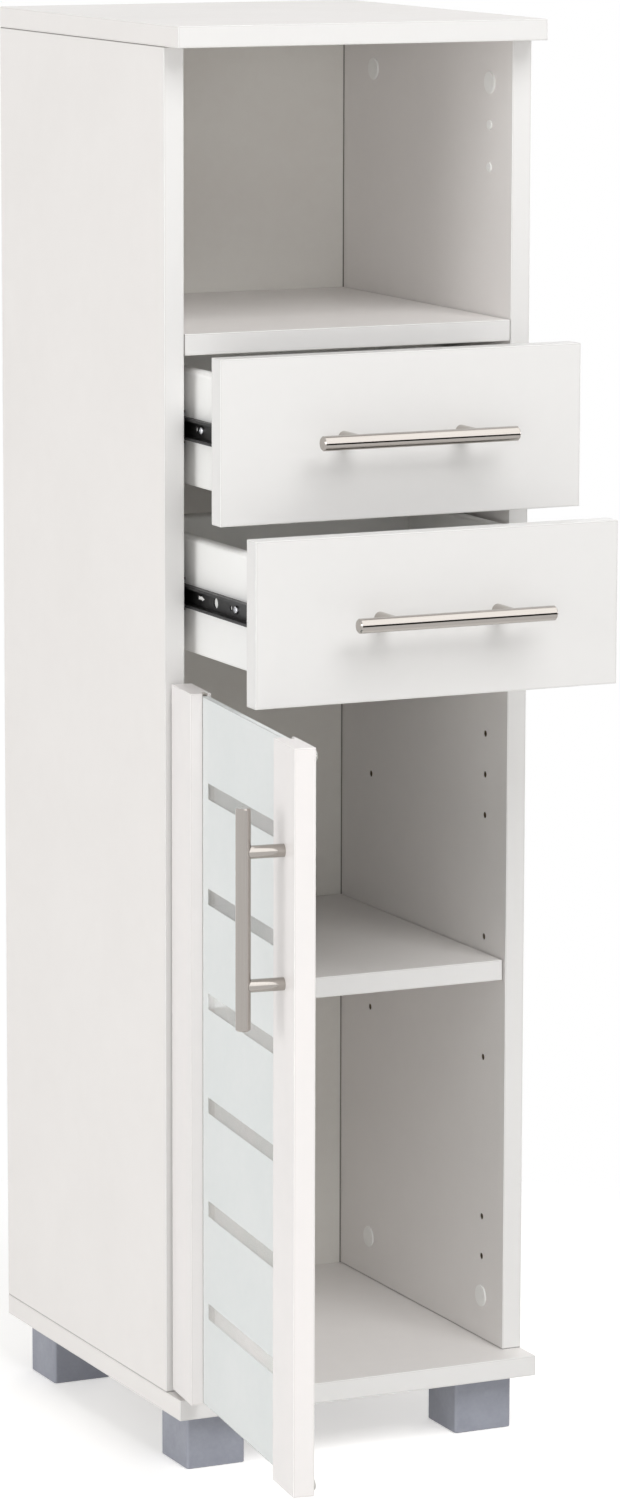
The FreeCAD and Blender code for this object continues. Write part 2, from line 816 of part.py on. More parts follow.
def hinge_pin_shape(level, gap):
    """The pin across the cup's ears, or its bore where a gap is given."""
    length = hinge_eye_width + 2 * (hinge_cup_gap + hinge_ear_thickness)
    return rod(hinge_pin_diameter + 2 * gap, length, hinge_point(0, 0, level - length / 2), up)


def cup_screw_seats(level):
    """Where the two screws of a cup sit on its flange, door closed."""
    y = closed_rear + hinge_flange_thickness
    half = hinge_cup_screw_spacing / 2
    return [V(hinge_cup_middle, y, level - half), V(hinge_cup_middle, y, level + half)]


def hinge_plate(level):
    """The plate screwed to the cabinet side, with the raised pad that carries the arm, and its screws."""
    inner = -inner_half
    start = row_front - hinge_plate_wing_width / 2
    end = start + hinge_plate_length
    half = hinge_arm_height / 2
    wing = hole_pitch / 2 + hinge_plate_wing_width / 2
    face = inner + hinge_plate_thickness
    foot = block(inner, face, start, start + hinge_plate_wing_width, level - wing, level + wing)
    corners = [edge for edge in foot.Edges if edge.BoundBox.XLength > 0]
    foot = foot.makeFillet(hinge_plate_corner, corners)
    pad = block(inner, hinge_pad_top, start, end, level - half, level + half)
    screws = []
    cuts = []
    screw = slotted_head_screw(
        hinge_plate_screw_head_diameter,
        hinge_plate_screw_head_height,
        pin_hole_diameter,
        hinge_plate_thickness + pin_bite,
    )
    for side in (-1, 1):
        seat = V(face, row_front, level + side * hole_pitch / 2)
        screws.append(placed(screw, seat, left))
        cuts.append(hole(pin_hole_diameter, hinge_plate_thickness, seat, left))
    return foot.fuse(pad).removeSplitter(), screws, cuts


def hinges():
    """Both hinges: the pieces that stay on the left side, and those that swing with the door."""
    arms = []
    plates = []
    plate_screws = []
    arm_screws = []
    cups = []
    cup_screws = []
    pins = []
    stile_cuts = []
    cup_seat_diameter = hinge_cup_diameter + hinge_cup_gap
    cup_seat_depth = hinge_cup_depth + hinge_cup_gap
    arm_screw = slotted_head_screw(
        hinge_arm_screw_head_diameter,
        hinge_arm_screw_head_height,
        hinge_arm_screw_diameter,
        hinge_arm_thickness + hinge_pad_height - hinge_arm_screw_end_gap,
    )
    cup_screw = slotted_head_screw(
        small_screw_head_diameter, small_screw_head_height / 2, small_screw_diameter, small_screw_length
    )
    for level in hinge_levels:
        face = hinge_pad_top + hinge_arm_thickness
        place = side_front + hinge_arm_length * hinge_arm_screw_place_share
        seat = V(face, place, level)
        clamp = hole(hinge_arm_screw_diameter, hinge_arm_thickness + hinge_pad_height, seat, left)
        arms.append(hinge_arm(level).cut(clamp))
        plate, screws, cuts = hinge_plate(level)
        plates.append(plate.cut(cuts + [clamp]))
        plate_screws += screws
        arm_screws.append(placed(arm_screw, seat, left))
        cups.append(hinge_cup(level))
        pins.append(hinge_pin_shape(level, 0))
        cup_mouth = V(hinge_cup_middle, closed_rear, level)
        stile_cuts.append(hole(cup_seat_diameter, cup_seat_depth, cup_mouth, front))
        for seat in cup_screw_seats(level):
            cup_screws.append(placed(cup_screw, seat, front))
            stile_cuts.append(hole(small_screw_diameter, small_screw_length, seat, front))
    parts["hinge_arms"] = group(arms)
    parts["hinge_plates"] = group(plates)
    parts["hinge_plate_screws"] = group(plate_screws)
    parts["hinge_arm_screws"] = group(arm_screws)
    swinging = {
        "hinge_cups": group(cups),
        "hinge_cup_screws": group(cup_screws),
        "hinge_pins": group(pins),
    }
    return swinging, stile_cuts


# Door

def door():
    """Two stiles with a frosted pane between them, hung on the left and swung open at rest."""
    pieces, hinge_cuts = hinges()
    handle_x = front_half - stile_width / 2
    handle_level = door_top - door_handle_drop
    handle_pieces, handle_cuts = handle("door", V(handle_x, closed_front, handle_level), up, front)
    pieces.update(handle_pieces)
    glass_front = closed_front + glass_recess
    inner_edge = front_half - stile_width
    groove = block(
        -inner_edge - glass_groove_depth,
        inner_edge + glass_groove_depth,
        glass_front - glass_gap,
        glass_front + glass_thickness + glass_gap,
        door_bottom - overrun,
        door_top + overrun,
    )
    hinge_stile = panel(-front_half, -inner_edge, closed_front, closed_rear, door_bottom, door_top)
    handle_stile = panel(inner_edge, front_half, closed_front, closed_rear, door_bottom, door_top)
    pieces["door_hinge_stile"] = hinge_stile.cut(hinge_cuts + [groove])
    pieces["door_handle_stile"] = handle_stile.cut(handle_cuts + [groove])
    pieces["door_glass"] = block(
        -inner_edge - glass_groove_depth + glass_edge_gap,
        inner_edge + glass_groove_depth - glass_edge_gap,
        glass_front,
        glass_front + glass_thickness,
        door_bottom + glass_end_gap,
        door_top - glass_end_gap,
    )
    pads = []
    for z in (door_bottom + bumper_end_inset, door_top - bumper_end_inset):
        seat = V(front_half - bumper_edge_inset, closed_rear, z)
        pads.append(rod(bumper_diameter, closed_gap - bumper_gap, seat, back))
    pieces["door_bumpers"] = group(pads)
    for node, shape in pieces.items():
        swung = shape.copy()
        swung.rotate(hinge_pivot, up, -door_opening_degrees)
        parts[node] = swung


# Feet

def feet():
    """Four block feet, each held by one screw from below."""
    corners = (("front_left", -1, -1), ("front_right", 1, -1), ("rear_left", -1, 1), ("rear_right", 1, 1))
    half = foot_width / 2
    across = outer_half - foot_side_inset - half
    along = panel_depth / 2 - foot_end_inset - half
    screw = slotted_head_screw(
        foot_screw_head_diameter, foot_screw_head_height, foot_screw_diameter, foot_web + foot_screw_bite
    )
    screws = []
    for name, x_side, y_side in corners:
        x = x_side * across
        y = y_side * along
        plain = block(x - half, x + half, y - half, y + half, 0, foot_height)
        uprights = [edge for edge in plain.Edges if edge.BoundBox.ZLength > 0]
        body = plain.makeFillet(foot_corner_radius, uprights)
        rim = [edge for edge in body.Edges if edge.BoundBox.ZMax < foot_height / 2]
        body = body.makeFillet(foot_rim_radius, rim)
        seat = V(x, y, foot_height - foot_web)
        bore = rod(foot_bore_diameter, foot_height - foot_web, V(x, y, 0), up)
        parts[name + "_foot"] = body.cut([bore, hole(foot_screw_diameter, foot_web + overrun, seat, up)])
        screws.append(placed(screw, seat, up))
        base_cuts.append(hole(foot_screw_diameter, foot_screw_bite, V(x, y, foot_height), up))
    parts["foot_screws"] = group(screws)


# Carcass

def carcass():
    """The boards, cut for every fitting that they carry."""
    groove = block(
        -inner_half - groove_depth,
        inner_half + groove_depth,
        back_panel_front - groove_gap,
        back_panel_front + back_panel_thickness + groove_gap,
        base_top - groove_depth,
        top_under + groove_depth,
    )
    parts["back_panel"] = block(
        -inner_half - groove_depth + groove_gap,
        inner_half + groove_depth - groove_gap,
        back_panel_front,
        back_panel_front + back_panel_thickness,
        base_top - groove_depth + groove_gap,
        top_under + groove_depth - groove_gap,
    )
    left_side = panel(-outer_half, -inner_half, side_front, panel_rear, base_top, top_under)
    left_side = left_side.cut(left_side_cuts + [groove])
    parts["left_side"] = left_side
    parts["right_side"] = mirrored(left_side)
    base = panel(-outer_half, outer_half, panel_front, panel_rear, foot_height, base_top)
    top = panel(-outer_half, outer_half, panel_front, panel_rear, top_under, cabinet_height)
    parts["base_panel"] = base.cut(with_twins(base_cuts) + [groove])
    parts["top_panel"] = top.cut(with_twins(top_cuts) + [groove])
    niche_shelf = panel(-inner_half, inner_half, side_front, back_panel_front, niche_shelf_under, niche_floor)
    parts["niche_shelf"] = niche_shelf.cut(with_twins(niche_shelf_cuts))
    shelf_half = inner_half - shelf_side_gap
    shelf_under = door_middle + shelf_pin_share * hole_pitch + shelf_pin_lift
    parts["adjustable_shelf"] = panel(
        -shelf_half,
        shelf_half,
        side_front + shelf_setback,
        back_panel_front - shelf_rear_gap,
        shelf_under,
        shelf_under + board,
    )
    parts["cam_locks"] = group(with_twins(cam_locks))
    parts["cam_bolts"] = group(with_twins(cam_bolts))
    parts["cam_caps"] = group(with_twins(cam_caps))
    parts["carcass_dowels"] = group(with_twins(dowels))
    parts["hole_plugs"] = group(with_twins(hole_plugs()))
    parts["shelf_pins"] = group(with_twins(shelf_pins()))


carcass_cams()
carcass_dowels()
side_holes()
upper_rail, upper_screws = drawer("upper_drawer", upper_front_bottom, upper_drawer_opening)
lower_rail, lower_screws = drawer("lower_drawer", lower_front_bottom, lower_drawer_opening)
parts["cabinet_rails"] = group(with_twins([upper_rail, lower_rail]))
parts["cabinet_rail_screws"] = group(with_twins(upper_screws + lower_screws))
door()
feet()
carcass()

os.makedirs("parts", exist_ok=True)
for node, shape in parts.items():
    shape.exportStep("parts/" + node + ".step")
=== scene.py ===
"""A tall narrow bathroom cabinet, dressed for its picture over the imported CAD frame."""

import logging
import math
from dataclasses import dataclass
from enum import Enum
from functools import cache
from typing import Any, Iterable, Optional

import bmesh
import bpy
from mathutils import Matrix, Vector


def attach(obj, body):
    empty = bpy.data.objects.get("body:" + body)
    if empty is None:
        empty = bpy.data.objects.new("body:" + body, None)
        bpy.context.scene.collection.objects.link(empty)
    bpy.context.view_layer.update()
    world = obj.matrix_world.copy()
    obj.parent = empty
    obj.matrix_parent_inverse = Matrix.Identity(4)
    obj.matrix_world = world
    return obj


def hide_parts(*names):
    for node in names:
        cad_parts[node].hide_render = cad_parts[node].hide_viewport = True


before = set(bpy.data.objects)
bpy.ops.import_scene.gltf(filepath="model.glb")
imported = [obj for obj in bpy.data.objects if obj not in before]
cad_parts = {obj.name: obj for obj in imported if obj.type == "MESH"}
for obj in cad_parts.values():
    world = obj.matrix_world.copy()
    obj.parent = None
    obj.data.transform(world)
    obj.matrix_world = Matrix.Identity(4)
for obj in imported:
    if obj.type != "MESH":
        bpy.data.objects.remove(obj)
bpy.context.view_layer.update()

log = logging.getLogger("cabinet")

MM = 0.001
HALF = 0.5
Colour = tuple[float, float, float, float]
Pair = tuple[float, float]
Place = tuple[float, float, float]
Material = bpy.types.Material
Piece = bpy.types.Object
Socket = bpy.types.NodeSocket
Tree = bpy.types.NodeTree
WHITE: Colour = (1.0, 1.0, 1.0, 1.0)


def srgb(*channels: float) -> Colour:
    """Turn a display colour into the linear colour that a shader takes.

    Args:
        channels: Red, green and blue from 0 to 255.

    Returns:
        The linear colour with full alpha.
    """
    top, knee, slope, offset, power = 255, 0.04045, 12.92, 0.055, 2.4
    shares = [channel / top for channel in channels]
    linear = [s / slope if s <= knee else ((s + offset) / (1 + offset)) ** power for s in shares]
    return (*linear, 1.0)


class Body(Enum):
    """The moving bodies of the cabinet."""

    CARCASS = "carcass"
    DOOR = "door"
    UPPER_DRAWER = "upper_drawer"
    LOWER_DRAWER = "lower_drawer"


class Slot(Enum):
    """The record's finish slots."""

    FROSTED_GLASS = "frosted_glass"
    BRIGHT_STEEL = "bright_steel"


class Stroke(Enum):
    """Which way a brushed metal was rubbed, as the turn that lays the strokes along X."""

    ALONG_X = (0.0, 0.0, 0.0)
    ALONG_Y = (0.0, 0.0, -math.pi / 2)
    ALONG_Z = (0.0, math.pi / 2, 0.0)


class Joint(Enum):
    """Which ends of a board butt against its neighbours, as the mask that marks them."""

    LEVEL = "Ends X"
    UPRIGHT = "Ends Z"


class HeadShape(Enum):
    """The two kinds of screw head."""

    PAN = "pan"
    FLUSH = "flush"


@dataclass(frozen=True, eq=False)
class Swing:
    """A turn about an upright pin, from the closed place to the place at rest."""

    pin: Vector
    angle: float

    def to_rest(self) -> Matrix:
        """Give the matrix from closed to rest."""
        there = Matrix.Translation(self.pin)
        return there @ Matrix.Rotation(self.angle, 4, "Z") @ there.inverted()

    def to_closed(self) -> Matrix:
        """Give the matrix from rest to closed."""
        return self.to_rest().inverted()


STILL = Swing(Vector(), 0.0)
DOOR_SWING = Swing(Vector((-140.5, -155.5, 0.0)) * MM, math.radians(-97.0))


def extent(points: Iterable[Vector]) -> tuple[Vector, Vector]:
    """Give the lowest and highest corner of some points."""
    columns = list(zip(*points))
    return Vector([min(c) for c in columns]), Vector([max(c) for c in columns])


def node_extent(name: str, swing: Swing) -> tuple[Vector, Vector]:
    """Give the lowest and highest corner of a CAD node in its closed place."""
    back = swing.to_closed()
    return extent(back @ vertex.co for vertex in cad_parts[name].data.vertices)


def shells(name: str, swing: Swing) -> list[list[Vector]]:
    """Split a CAD node's points into its separate solids.

    Args:
        name: The node's name.
        swing: The turn that the node has at rest.

    Returns:
        The points of each solid, in closed place.
    """
    made = bmesh.new()
    made.from_mesh(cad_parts[name].data)
    bmesh.ops.remove_doubles(made, verts=made.verts, dist=0.001 * MM)
    back = swing.to_closed()
    left, found = set(made.verts), []
    while left:
        front, solid = [left.pop()], []
        while front:
            vertex = front.pop()
            solid.append(back @ vertex.co)
            near = {edge.other_vert(vertex) for edge in vertex.link_edges} & left
            left -= near
            front.extend(near)
        found.append(solid)
    made.free()
    return sorted(found, key=lambda solid: tuple(extent(solid)[0]))


def dress(names: Iterable[str], material: Material) -> None:
    """Give CAD nodes a finish.

    Args:
        names: The nodes.
        material: The finish.
    """
    for name in names:
        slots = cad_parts[name].data.materials
        slots.clear()
        slots.append(material)
        log.info("%s wears %s", name, material.name)


def stand(name: str, data: Any) -> Piece:
    """Put a new object into the scene.

    Args:
        name: The object's name.
        data: Its mesh, light or camera.

    Returns:
        The object.
    """
    piece = bpy.data.objects.new(name, data)
    bpy.context.scene.collection.objects.link(piece)
    return piece


class Graph:
    """Adds and joins the nodes of one shader or geometry tree."""

    def __init__(self, tree: Tree) -> None:
        """Hold the tree that the nodes go into."""
        self.tree = tree

    def add(self, kind: str, feeds: Optional[dict] = None, **settings: Any) -> bpy.types.Node:
        """Add a node, set it up and feed its sockets.

        Args:
            kind: The node's type name.
            feeds: Values or sockets for its inputs, by name or number.
            settings: The node's own properties.

        Returns:
            The new node.
        """
        node = self.tree.nodes.new(kind)
        for name, value in settings.items():
            setattr(node, name, value)
        for name, value in (feeds or {}).items():
            self.feed(node.inputs[name], value)
        return node

    def made(self, kind: str, feeds: Optional[dict] = None, **settings: Any) -> Socket:
        """Add a node and give its first output."""
        return self.add(kind, feeds, **settings).outputs[0]

    def feed(self, socket: Socket, value: Any) -> None:
        """Link sockets into an input, or set it to a plain value.

        Args:
            socket: The input.
            value: A socket, a list of sockets or a value.
        """
        sources = value if isinstance(value, list) else [value]
        if isinstance(sources[0], Socket):
            for source in sources:
                self.tree.links.new(source, socket)
        else:
            socket.default_value = value

    def math(self, operation: str, *operands: Any) -> Socket:
        """Work out one sum of values and give its result."""
        return self.made("ShaderNodeMath", dict(enumerate(operands)), operation=operation)

    def plus(self, first: Any, second: Any) -> Socket:
        """Add two values."""
        return self.math("ADD", first, second)

    def times(self, first: Any, second: Any) -> Socket:
        """Multiply two values."""
        return self.math("MULTIPLY", first, second)

    def vector(self, operation: str, *operands: Any) -> Socket:
        """Work out one sum of vectors and give its result."""
        return self.made("ShaderNodeVectorMath", dict(enumerate(operands)), operation=operation)

    def join(self, *parts: Any) -> Socket:
        """Make a vector of its parts."""
        return self.made("ShaderNodeCombineXYZ", dict(enumerate(parts)))

    def split(self, vector: Any) -> Any:
        """Give the three parts of a vector."""
        return self.add("ShaderNodeSeparateXYZ", {0: vector}).outputs

    def spread(self, value: Any, low: Any, high: Any, to_low: Any, to_high: Any) -> Socket:
        """Map a value from one range to another, held within it."""
        return self.made("ShaderNodeMapRange", {0: value, 1: low, 2: high, 3: to_low, 4: to_high})

    def rise(self, value: Any, start: Any, full: Any) -> Socket:
        """Give a mask that grows from 0 to 1 as a value goes from start to full."""
        return self.spread(value, start, full, 0.0, 1.0)

    def fade(self, value: Any, full: Any, end: Any) -> Socket:
        """Give a mask that falls from 1 to 0 as a value goes from full to end."""
        return self.spread(value, full, end, 1.0, 0.0)

    def between(self, mask: Any, low: Any, high: Any) -> Socket:
        """Give a value that goes from low to high with a mask."""
        return self.spread(mask, 0.0, 1.0, low, high)

    def blend(self, share: Any, first: Any, second: Any) -> Socket:
        """Blend two colours by a mask and give the result."""
        feeds = {0: share, 6: first, 7: second}
        return self.add("ShaderNodeMix", feeds, data_type="RGBA").outputs[2]

    def noise(self, where: Any, scale: Any, detail: float, roughness: float) -> Socket:
        """Give the value of a noise texture."""
        feeds = {"Vector": where, "Scale": scale, "Detail": detail, "Roughness": roughness}
        return self.made("ShaderNodeTexNoise", feeds)

    def glow(self, strength: float) -> Socket:
        """Give a white light."""
        return self.made("ShaderNodeEmission", {"Color": WHITE, "Strength": strength})

    def by_ray(self, lit: Socket, seen: Socket) -> Socket:
        """Give one shader to rays that light, and one to rays that see.

        Args:
            lit: The shader for rays that carry light to the cabinet.
            seen: The shader for straight and mirrored rays and those through glass.

        Returns:
            The mixed shader.
        """
        path = self.add("ShaderNodeLightPath").outputs
        mirrored = self.math("MAXIMUM", path["Is Camera Ray"], path["Is Glossy Ray"])
        share = self.math("MAXIMUM", mirrored, path["Is Transmission Ray"])
        return self.made("ShaderNodeMixShader", {0: share, 1: lit, 2: seen})


def bare_graph(holder: Any) -> Graph:
    """Clear the nodes of a material or world.

    Args:
        holder: The material or world.

    Returns:
        Its graph.
    """
    holder.use_nodes = True
    holder.node_tree.nodes.clear()
    return Graph(holder.node_tree)


class GroupTree(Graph):
    """A node group with named sockets."""

    def __init__(self, family: str, name: str, inputs: dict, outputs: dict) -> None:
        """Open an empty group, whose given sockets end with Blender's own blank one.

        Args:
            family: Shader or Geometry.
            name: The group's name.
            inputs: The kind of each input, by name.
            outputs: The kind of each output, by name.
        """
        super().__init__(bpy.data.node_groups.new(name, family + "NodeTree"))
        for way, sockets in (("INPUT", inputs), ("OUTPUT", outputs)):
            for label, kind in sockets.items():
                kind = "NodeSocket" + kind
                self.tree.interface.new_socket(name=label, in_out=way, socket_type=kind)
        self.given = self.add("NodeGroupInput").outputs

    def close(self, **results: Socket) -> Tree:
        """Feed the outputs and give the finished group."""
        self.add("NodeGroupOutput", results)
        return self.tree


@cache
def mottle() -> Tree:
    """Make slow clouds of tone with a finer layer in them.

    Returns:
        The group.
    """
    quick_ratio, slow_share, quick_share = 9.0, 0.7, 0.3
    inputs, outputs = {"Vector": "Vector", "Scale": "Float"}, {"Mask": "Float"}
    effect = GroupTree("Shader", "tone_mottle", inputs, outputs)
    where, scale, _ = effect.given
    slow = effect.noise(where, scale, detail=3.0, roughness=0.55)
    quick = effect.noise(where, effect.times(scale, quick_ratio), detail=2.0, roughness=0.5)
    both = effect.plus(effect.times(slow, slow_share), effect.times(quick, quick_share))
    return effect.close(Mask=effect.rise(both, start=0.36, full=0.64))


@cache
def pebble() -> Tree:
    """Make the fine pebbled height of a pressed or moulded skin.

    Returns:
        The group.
    """
    fine_ratio, fine_share = 2.3, 0.5
    inputs, outputs = {"Vector": "Vector", "Grain": "Float"}, {"Height": "Float"}
    effect = GroupTree("Shader", "pebbled_skin", inputs, outputs)
    where, grain, _ = effect.given
    cells = effect.made("ShaderNodeTexVoronoi", {"Vector": where, "Scale": grain})
    fine = effect.noise(where, effect.times(grain, fine_ratio), detail=2.0, roughness=0.6)
    return effect.close(Height=effect.plus(cells, effect.times(fine, fine_share)))


@cache
def brushing() -> Tree:
    """Make long fine strokes along X, and slower bands of them.

    Returns:
        The group.
    """
    inputs = {"Vector": "Vector", "Run": "Float", "Strokes": "Float"}
    outputs = {"Height": "Float", "Mask": "Float"}
    effect = GroupTree("Shader", "brushed_strokes", inputs, outputs)
    where, run, strokes, _ = effect.given
    where = effect.vector("MULTIPLY", where, effect.join(run, strokes, strokes))
    height = effect.noise(where, scale=1.0, detail=4.0, roughness=0.65)
    band = effect.noise(where, scale=0.22, detail=2.0, roughness=0.5)
    return effect.close(Height=height, Mask=effect.rise(band, start=0.3, full=0.7))


@cache
def edge_masks() -> Tree:
    """Make masks for a square-cut piece, by the depth of a point inside its box.

    Returns:
        The group, with masks of the rubbed rim, the seam of the edge band, the insides of
        holes, the front edge and the ends that butt against other boards.
    """
    inputs = dict.fromkeys(["Vector", "Centre", "Half Size"], "Vector")
    inputs.update(dict.fromkeys(["Rub Width", "Band"], "Float"))
    masks = ["Rub", "Seam", "Bore", "Front", *(joint.value for joint in Joint)]
    effect = GroupTree("Shader", "edge_rub_and_seam", inputs, dict.fromkeys(masks, "Float"))
    where, centre, half_size, rub_width, band, _ = effect.given
    offset = effect.vector("SUBTRACT", where, centre)
    depth = effect.vector("SUBTRACT", half_size, effect.vector("ABSOLUTE", offset))
    x, y, z = effect.split(depth)
    lesser, greater = effect.math("MINIMUM", x, y), effect.math("MAXIMUM", x, y)
    reach = effect.math("MAXIMUM", lesser, effect.math("MINIMUM", greater, z))
    off_seam = effect.math("ABSOLUTE", effect.math("SUBTRACT", reach, band))
    inside = effect.math("MINIMUM", lesser, z)
    behind = effect.split(effect.vector("ADD", offset, half_size))[1]
    ends = {Joint.LEVEL: x, Joint.UPRIGHT: z}
    return effect.close(
        Rub=effect.fade(reach, full=0.0, end=rub_width),
        Seam=effect.fade(off_seam, full=0.0, end=0.2 * MM),
        Bore=effect.rise(inside, start=0.3 * MM, full=0.8 * MM),
        Front=effect.fade(behind, full=0.3 * MM, end=0.6 * MM),
        **{end.value: effect.fade(d, full=0.4 * MM, end=0.8 * MM) for end, d in ends.items()})


class Surface(Graph):
    """One material whose Principled shader is fed by its own nodes."""

    def __init__(self, name: str, swing: Swing = STILL, stroke: Stroke = Stroke.ALONG_X,
                 **plain: float) -> None:
        """Open a material and set the shader values that are the same all over.

        Args:
            name: The material's name.
            swing: The turn that the piece has at rest.
            stroke: The way that a pattern runs.
            plain: Shader values, with underscores for the spaces in socket names.
        """
        self.material = bpy.data.materials.new(name)
        self.material.use_nodes = True
        super().__init__(self.material.node_tree)
        self.shader = self.tree.nodes["Principled BSDF"]
        for socket, value in plain.items():
            self.shader.inputs[socket.replace("_", " ")].default_value = value
        self.where = self.add("ShaderNodeTexCoord").outputs["Object"]
        if swing is not STILL:
            back = swing.to_closed()
            self._turn(Location=back.to_translation(), Rotation=back.to_euler())
        if stroke is not Stroke.ALONG_X:
            self._turn(Rotation=stroke.value)

    def _turn(self, **how: Any) -> None:
        """Turn and shift the coordinates of the patterns."""
        self.where = self.made("ShaderNodeMapping", {"Vector": self.where, **how})

    def effect(self, tree: Tree, feeds: dict) -> Any:
        """Place a shared group on the piece's own coordinates and give its outputs."""
        return self.add("ShaderNodeGroup", {"Vector": self.where, **feeds}, node_tree=tree).outputs

    def clouds(self, scale: float) -> Socket:
        """Give a mask of slow clouds."""
        return self.effect(mottle(), {"Scale": scale})["Mask"]

    def skin(self, grain: float) -> Socket:
        """Give the height of a pebbled skin."""
        return self.effect(pebble(), {"Grain": grain})["Height"]

    def lines(self, run: float, strokes: float) -> Any:
        """Give the height and the mask of long strokes."""
        return self.effect(brushing(), {"Run": run, "Strokes": strokes})

    def edges(self, piece: str, swing: Swing, rub: float, band: float = 0.0) -> Any:
        """Give the edge masks of a CAD node.

        Args:
            piece: The node's name.
            swing: The turn that it has at rest.
            rub: How far in from an edge it is rubbed.
            band: The thickness of the edge band.

        Returns:
            The masks by name.
        """
        low, high = node_extent(piece, swing)
        return self.effect(edge_masks(), {
            "Centre": (low + high) / 2, "Half Size": (high - low) / 2,
            "Rub Width": rub, "Band": band})

    def wear(self, colour: Any, roughness: Any) -> None:
        """Feed the shader's colour and roughness."""
        self.feed(self.shader.inputs["Base Color"], colour)
        self.feed(self.shader.inputs["Roughness"], roughness)

    def bump(self, height: Any, strength: float, depth: float) -> None:
        """Raise the surface by a height, up to a depth in metres."""
        feeds = {"Strength": strength, "Distance": depth, "Height": height}
        self.feed(self.shader.inputs["Normal"], self.made("ShaderNodeBump", feeds))


class EdgedFinish:
    """A finish that each piece wears in a copy of its own, set to the piece's edges."""

    def dress(self, names: Iterable[str], **how: Any) -> None:
        """Give CAD nodes their copies of the finish."""
        for name in names:
            dress([name], self.material(name, **how))


@dataclass(frozen=True)
class BoardFinish(EdgedFinish):
    """Satin white melamine on particle board, with a band on each cut edge."""

    name: str
    face: Colour
    cloud: Colour
    seam: Colour
    dull: Pair = (0.38, 0.47)
    # front: painted shade, a darker tone laid on the boards' front edges
    front: Optional[Colour] = None
    raw_dark: Colour = srgb(74, 60, 44)
    raw_pale: Colour = srgb(116, 96, 72)
    # joint line: a dark joint with painted crease shade, laid on the ends that butt against other
    # boards
    joint_gap_and_shade: Colour = srgb(112, 108, 104)
    seam_share: float = 0.45
    rub_shine: float = 0.1

    def material(self, piece: str, swing: Swing = STILL, joint: Optional[Joint] = None) -> Material:
        """Make the finish for one board.

        Args:
            piece: The board's name.
            swing: The turn that the board has at rest.
            joint: The ends that butt against other boards, if any.

        Returns:
            The material.
        """
        look = Surface(f"{self.name}_{piece}", swing)
        edge = look.edges(piece, swing, rub=1.6 * MM, band=0.9 * MM)
        cloud = look.clouds(scale=7.0)
        colour = look.blend(cloud, self.face, self.cloud)
        # Painted shade: the front edges take the darker front tone.
        if self.front is not None:
            colour = look.blend(edge["Front"], colour, self.front)
        colour = look.blend(look.times(edge["Seam"], self.seam_share), colour, self.seam)
        # A dark joint with painted crease shade on the ends that butt against other boards.
        if joint is not None:
            colour = look.blend(edge[joint.value], colour, self.joint_gap_and_shade)
        raw = look.blend(look.clouds(scale=260.0), self.raw_dark, self.raw_pale)
        colour = look.blend(edge["Bore"], colour, raw)
        dull = look.between(cloud, *self.dull)
        shine = look.times(edge["Rub"], self.rub_shine)
        look.wear(colour, look.math("SUBTRACT", dull, shine))
        look.bump(look.skin(grain=1500.0), strength=0.12, depth=0.06 * MM)
        return look.material


@dataclass(frozen=True)
class HardboardFinish:
    """White lacquer on thin hardboard, with the press screen's mesh showing through."""

    name: str
    face: Colour
    cloud: Colour
    # crease tone and place: painted corner shade, partly the dark joint, where the panel meets the
    # side boards
    corner_shade_tone: Colour
    corner_shade_place: float = 135.3 * MM
    mesh_pitch: float = 2.2 * MM
    mesh_share: float = 0.2

    @cache
    def material(self) -> Material:
        """Make the finish.

        Returns:
            The material.
        """
        look = Surface(self.name)
        cloud = look.clouds(scale=12.0)
        # Painted corner shade, partly the dark joint: a thin dark line where the panel meets the
        # side boards.
        across = look.math("ABSOLUTE", look.split(look.where)[0])
        off = look.math("ABSOLUTE", look.math("SUBTRACT", across, self.corner_shade_place))
        corner_shade = look.fade(off, full=0.2 * MM, end=1.0 * MM)
        colour = look.blend(corner_shade, look.blend(cloud, self.face, self.cloud), self.corner_shade_tone)
        look.wear(colour, look.between(cloud, low=0.5, high=0.62))
        pull = Vector((1.0, 1.0, 1.0)) * (2 * math.pi / self.mesh_pitch)
        turned = look.split(look.vector("MULTIPLY", look.where, pull))
        level = look.math("SINE", look.plus(turned[1], turned[2]))
        screen = look.plus(look.math("SINE", turned[0]), level)
        height = look.plus(look.times(screen, self.mesh_share), look.skin(grain=900.0))
        look.bump(height, strength=0.15, depth=0.06 * MM)
        return look.material


@dataclass(frozen=True)
class PlasticFinish(EdgedFinish):
    """Moulded plastic with a fine spark-eroded skin and lighter rubbed edges."""

    name: str
    face: Colour
    cloud: Colour
    rubbed: Colour
    dull: Pair = (0.45, 0.56)
    rub_share: float = 0.6

    def material(self, piece: str) -> Material:
        """Make the finish for one moulding.

        Args:
            piece: The moulding's name.

        Returns:
            The material.
        """
        look = Surface(f"{self.name}_{piece}")
        rub = look.edges(piece, STILL, rub=2.0 * MM)["Rub"]
        cloud = look.clouds(scale=40.0)
        colour = look.blend(cloud, self.face, self.cloud)
        share = look.times(look.times(rub, cloud), self.rub_share)
        colour = look.blend(share, colour, self.rubbed)
        look.wear(colour, look.between(cloud, *self.dull))
        look.bump(look.skin(grain=1800.0), strength=0.3, depth=0.08 * MM)
        return look.material


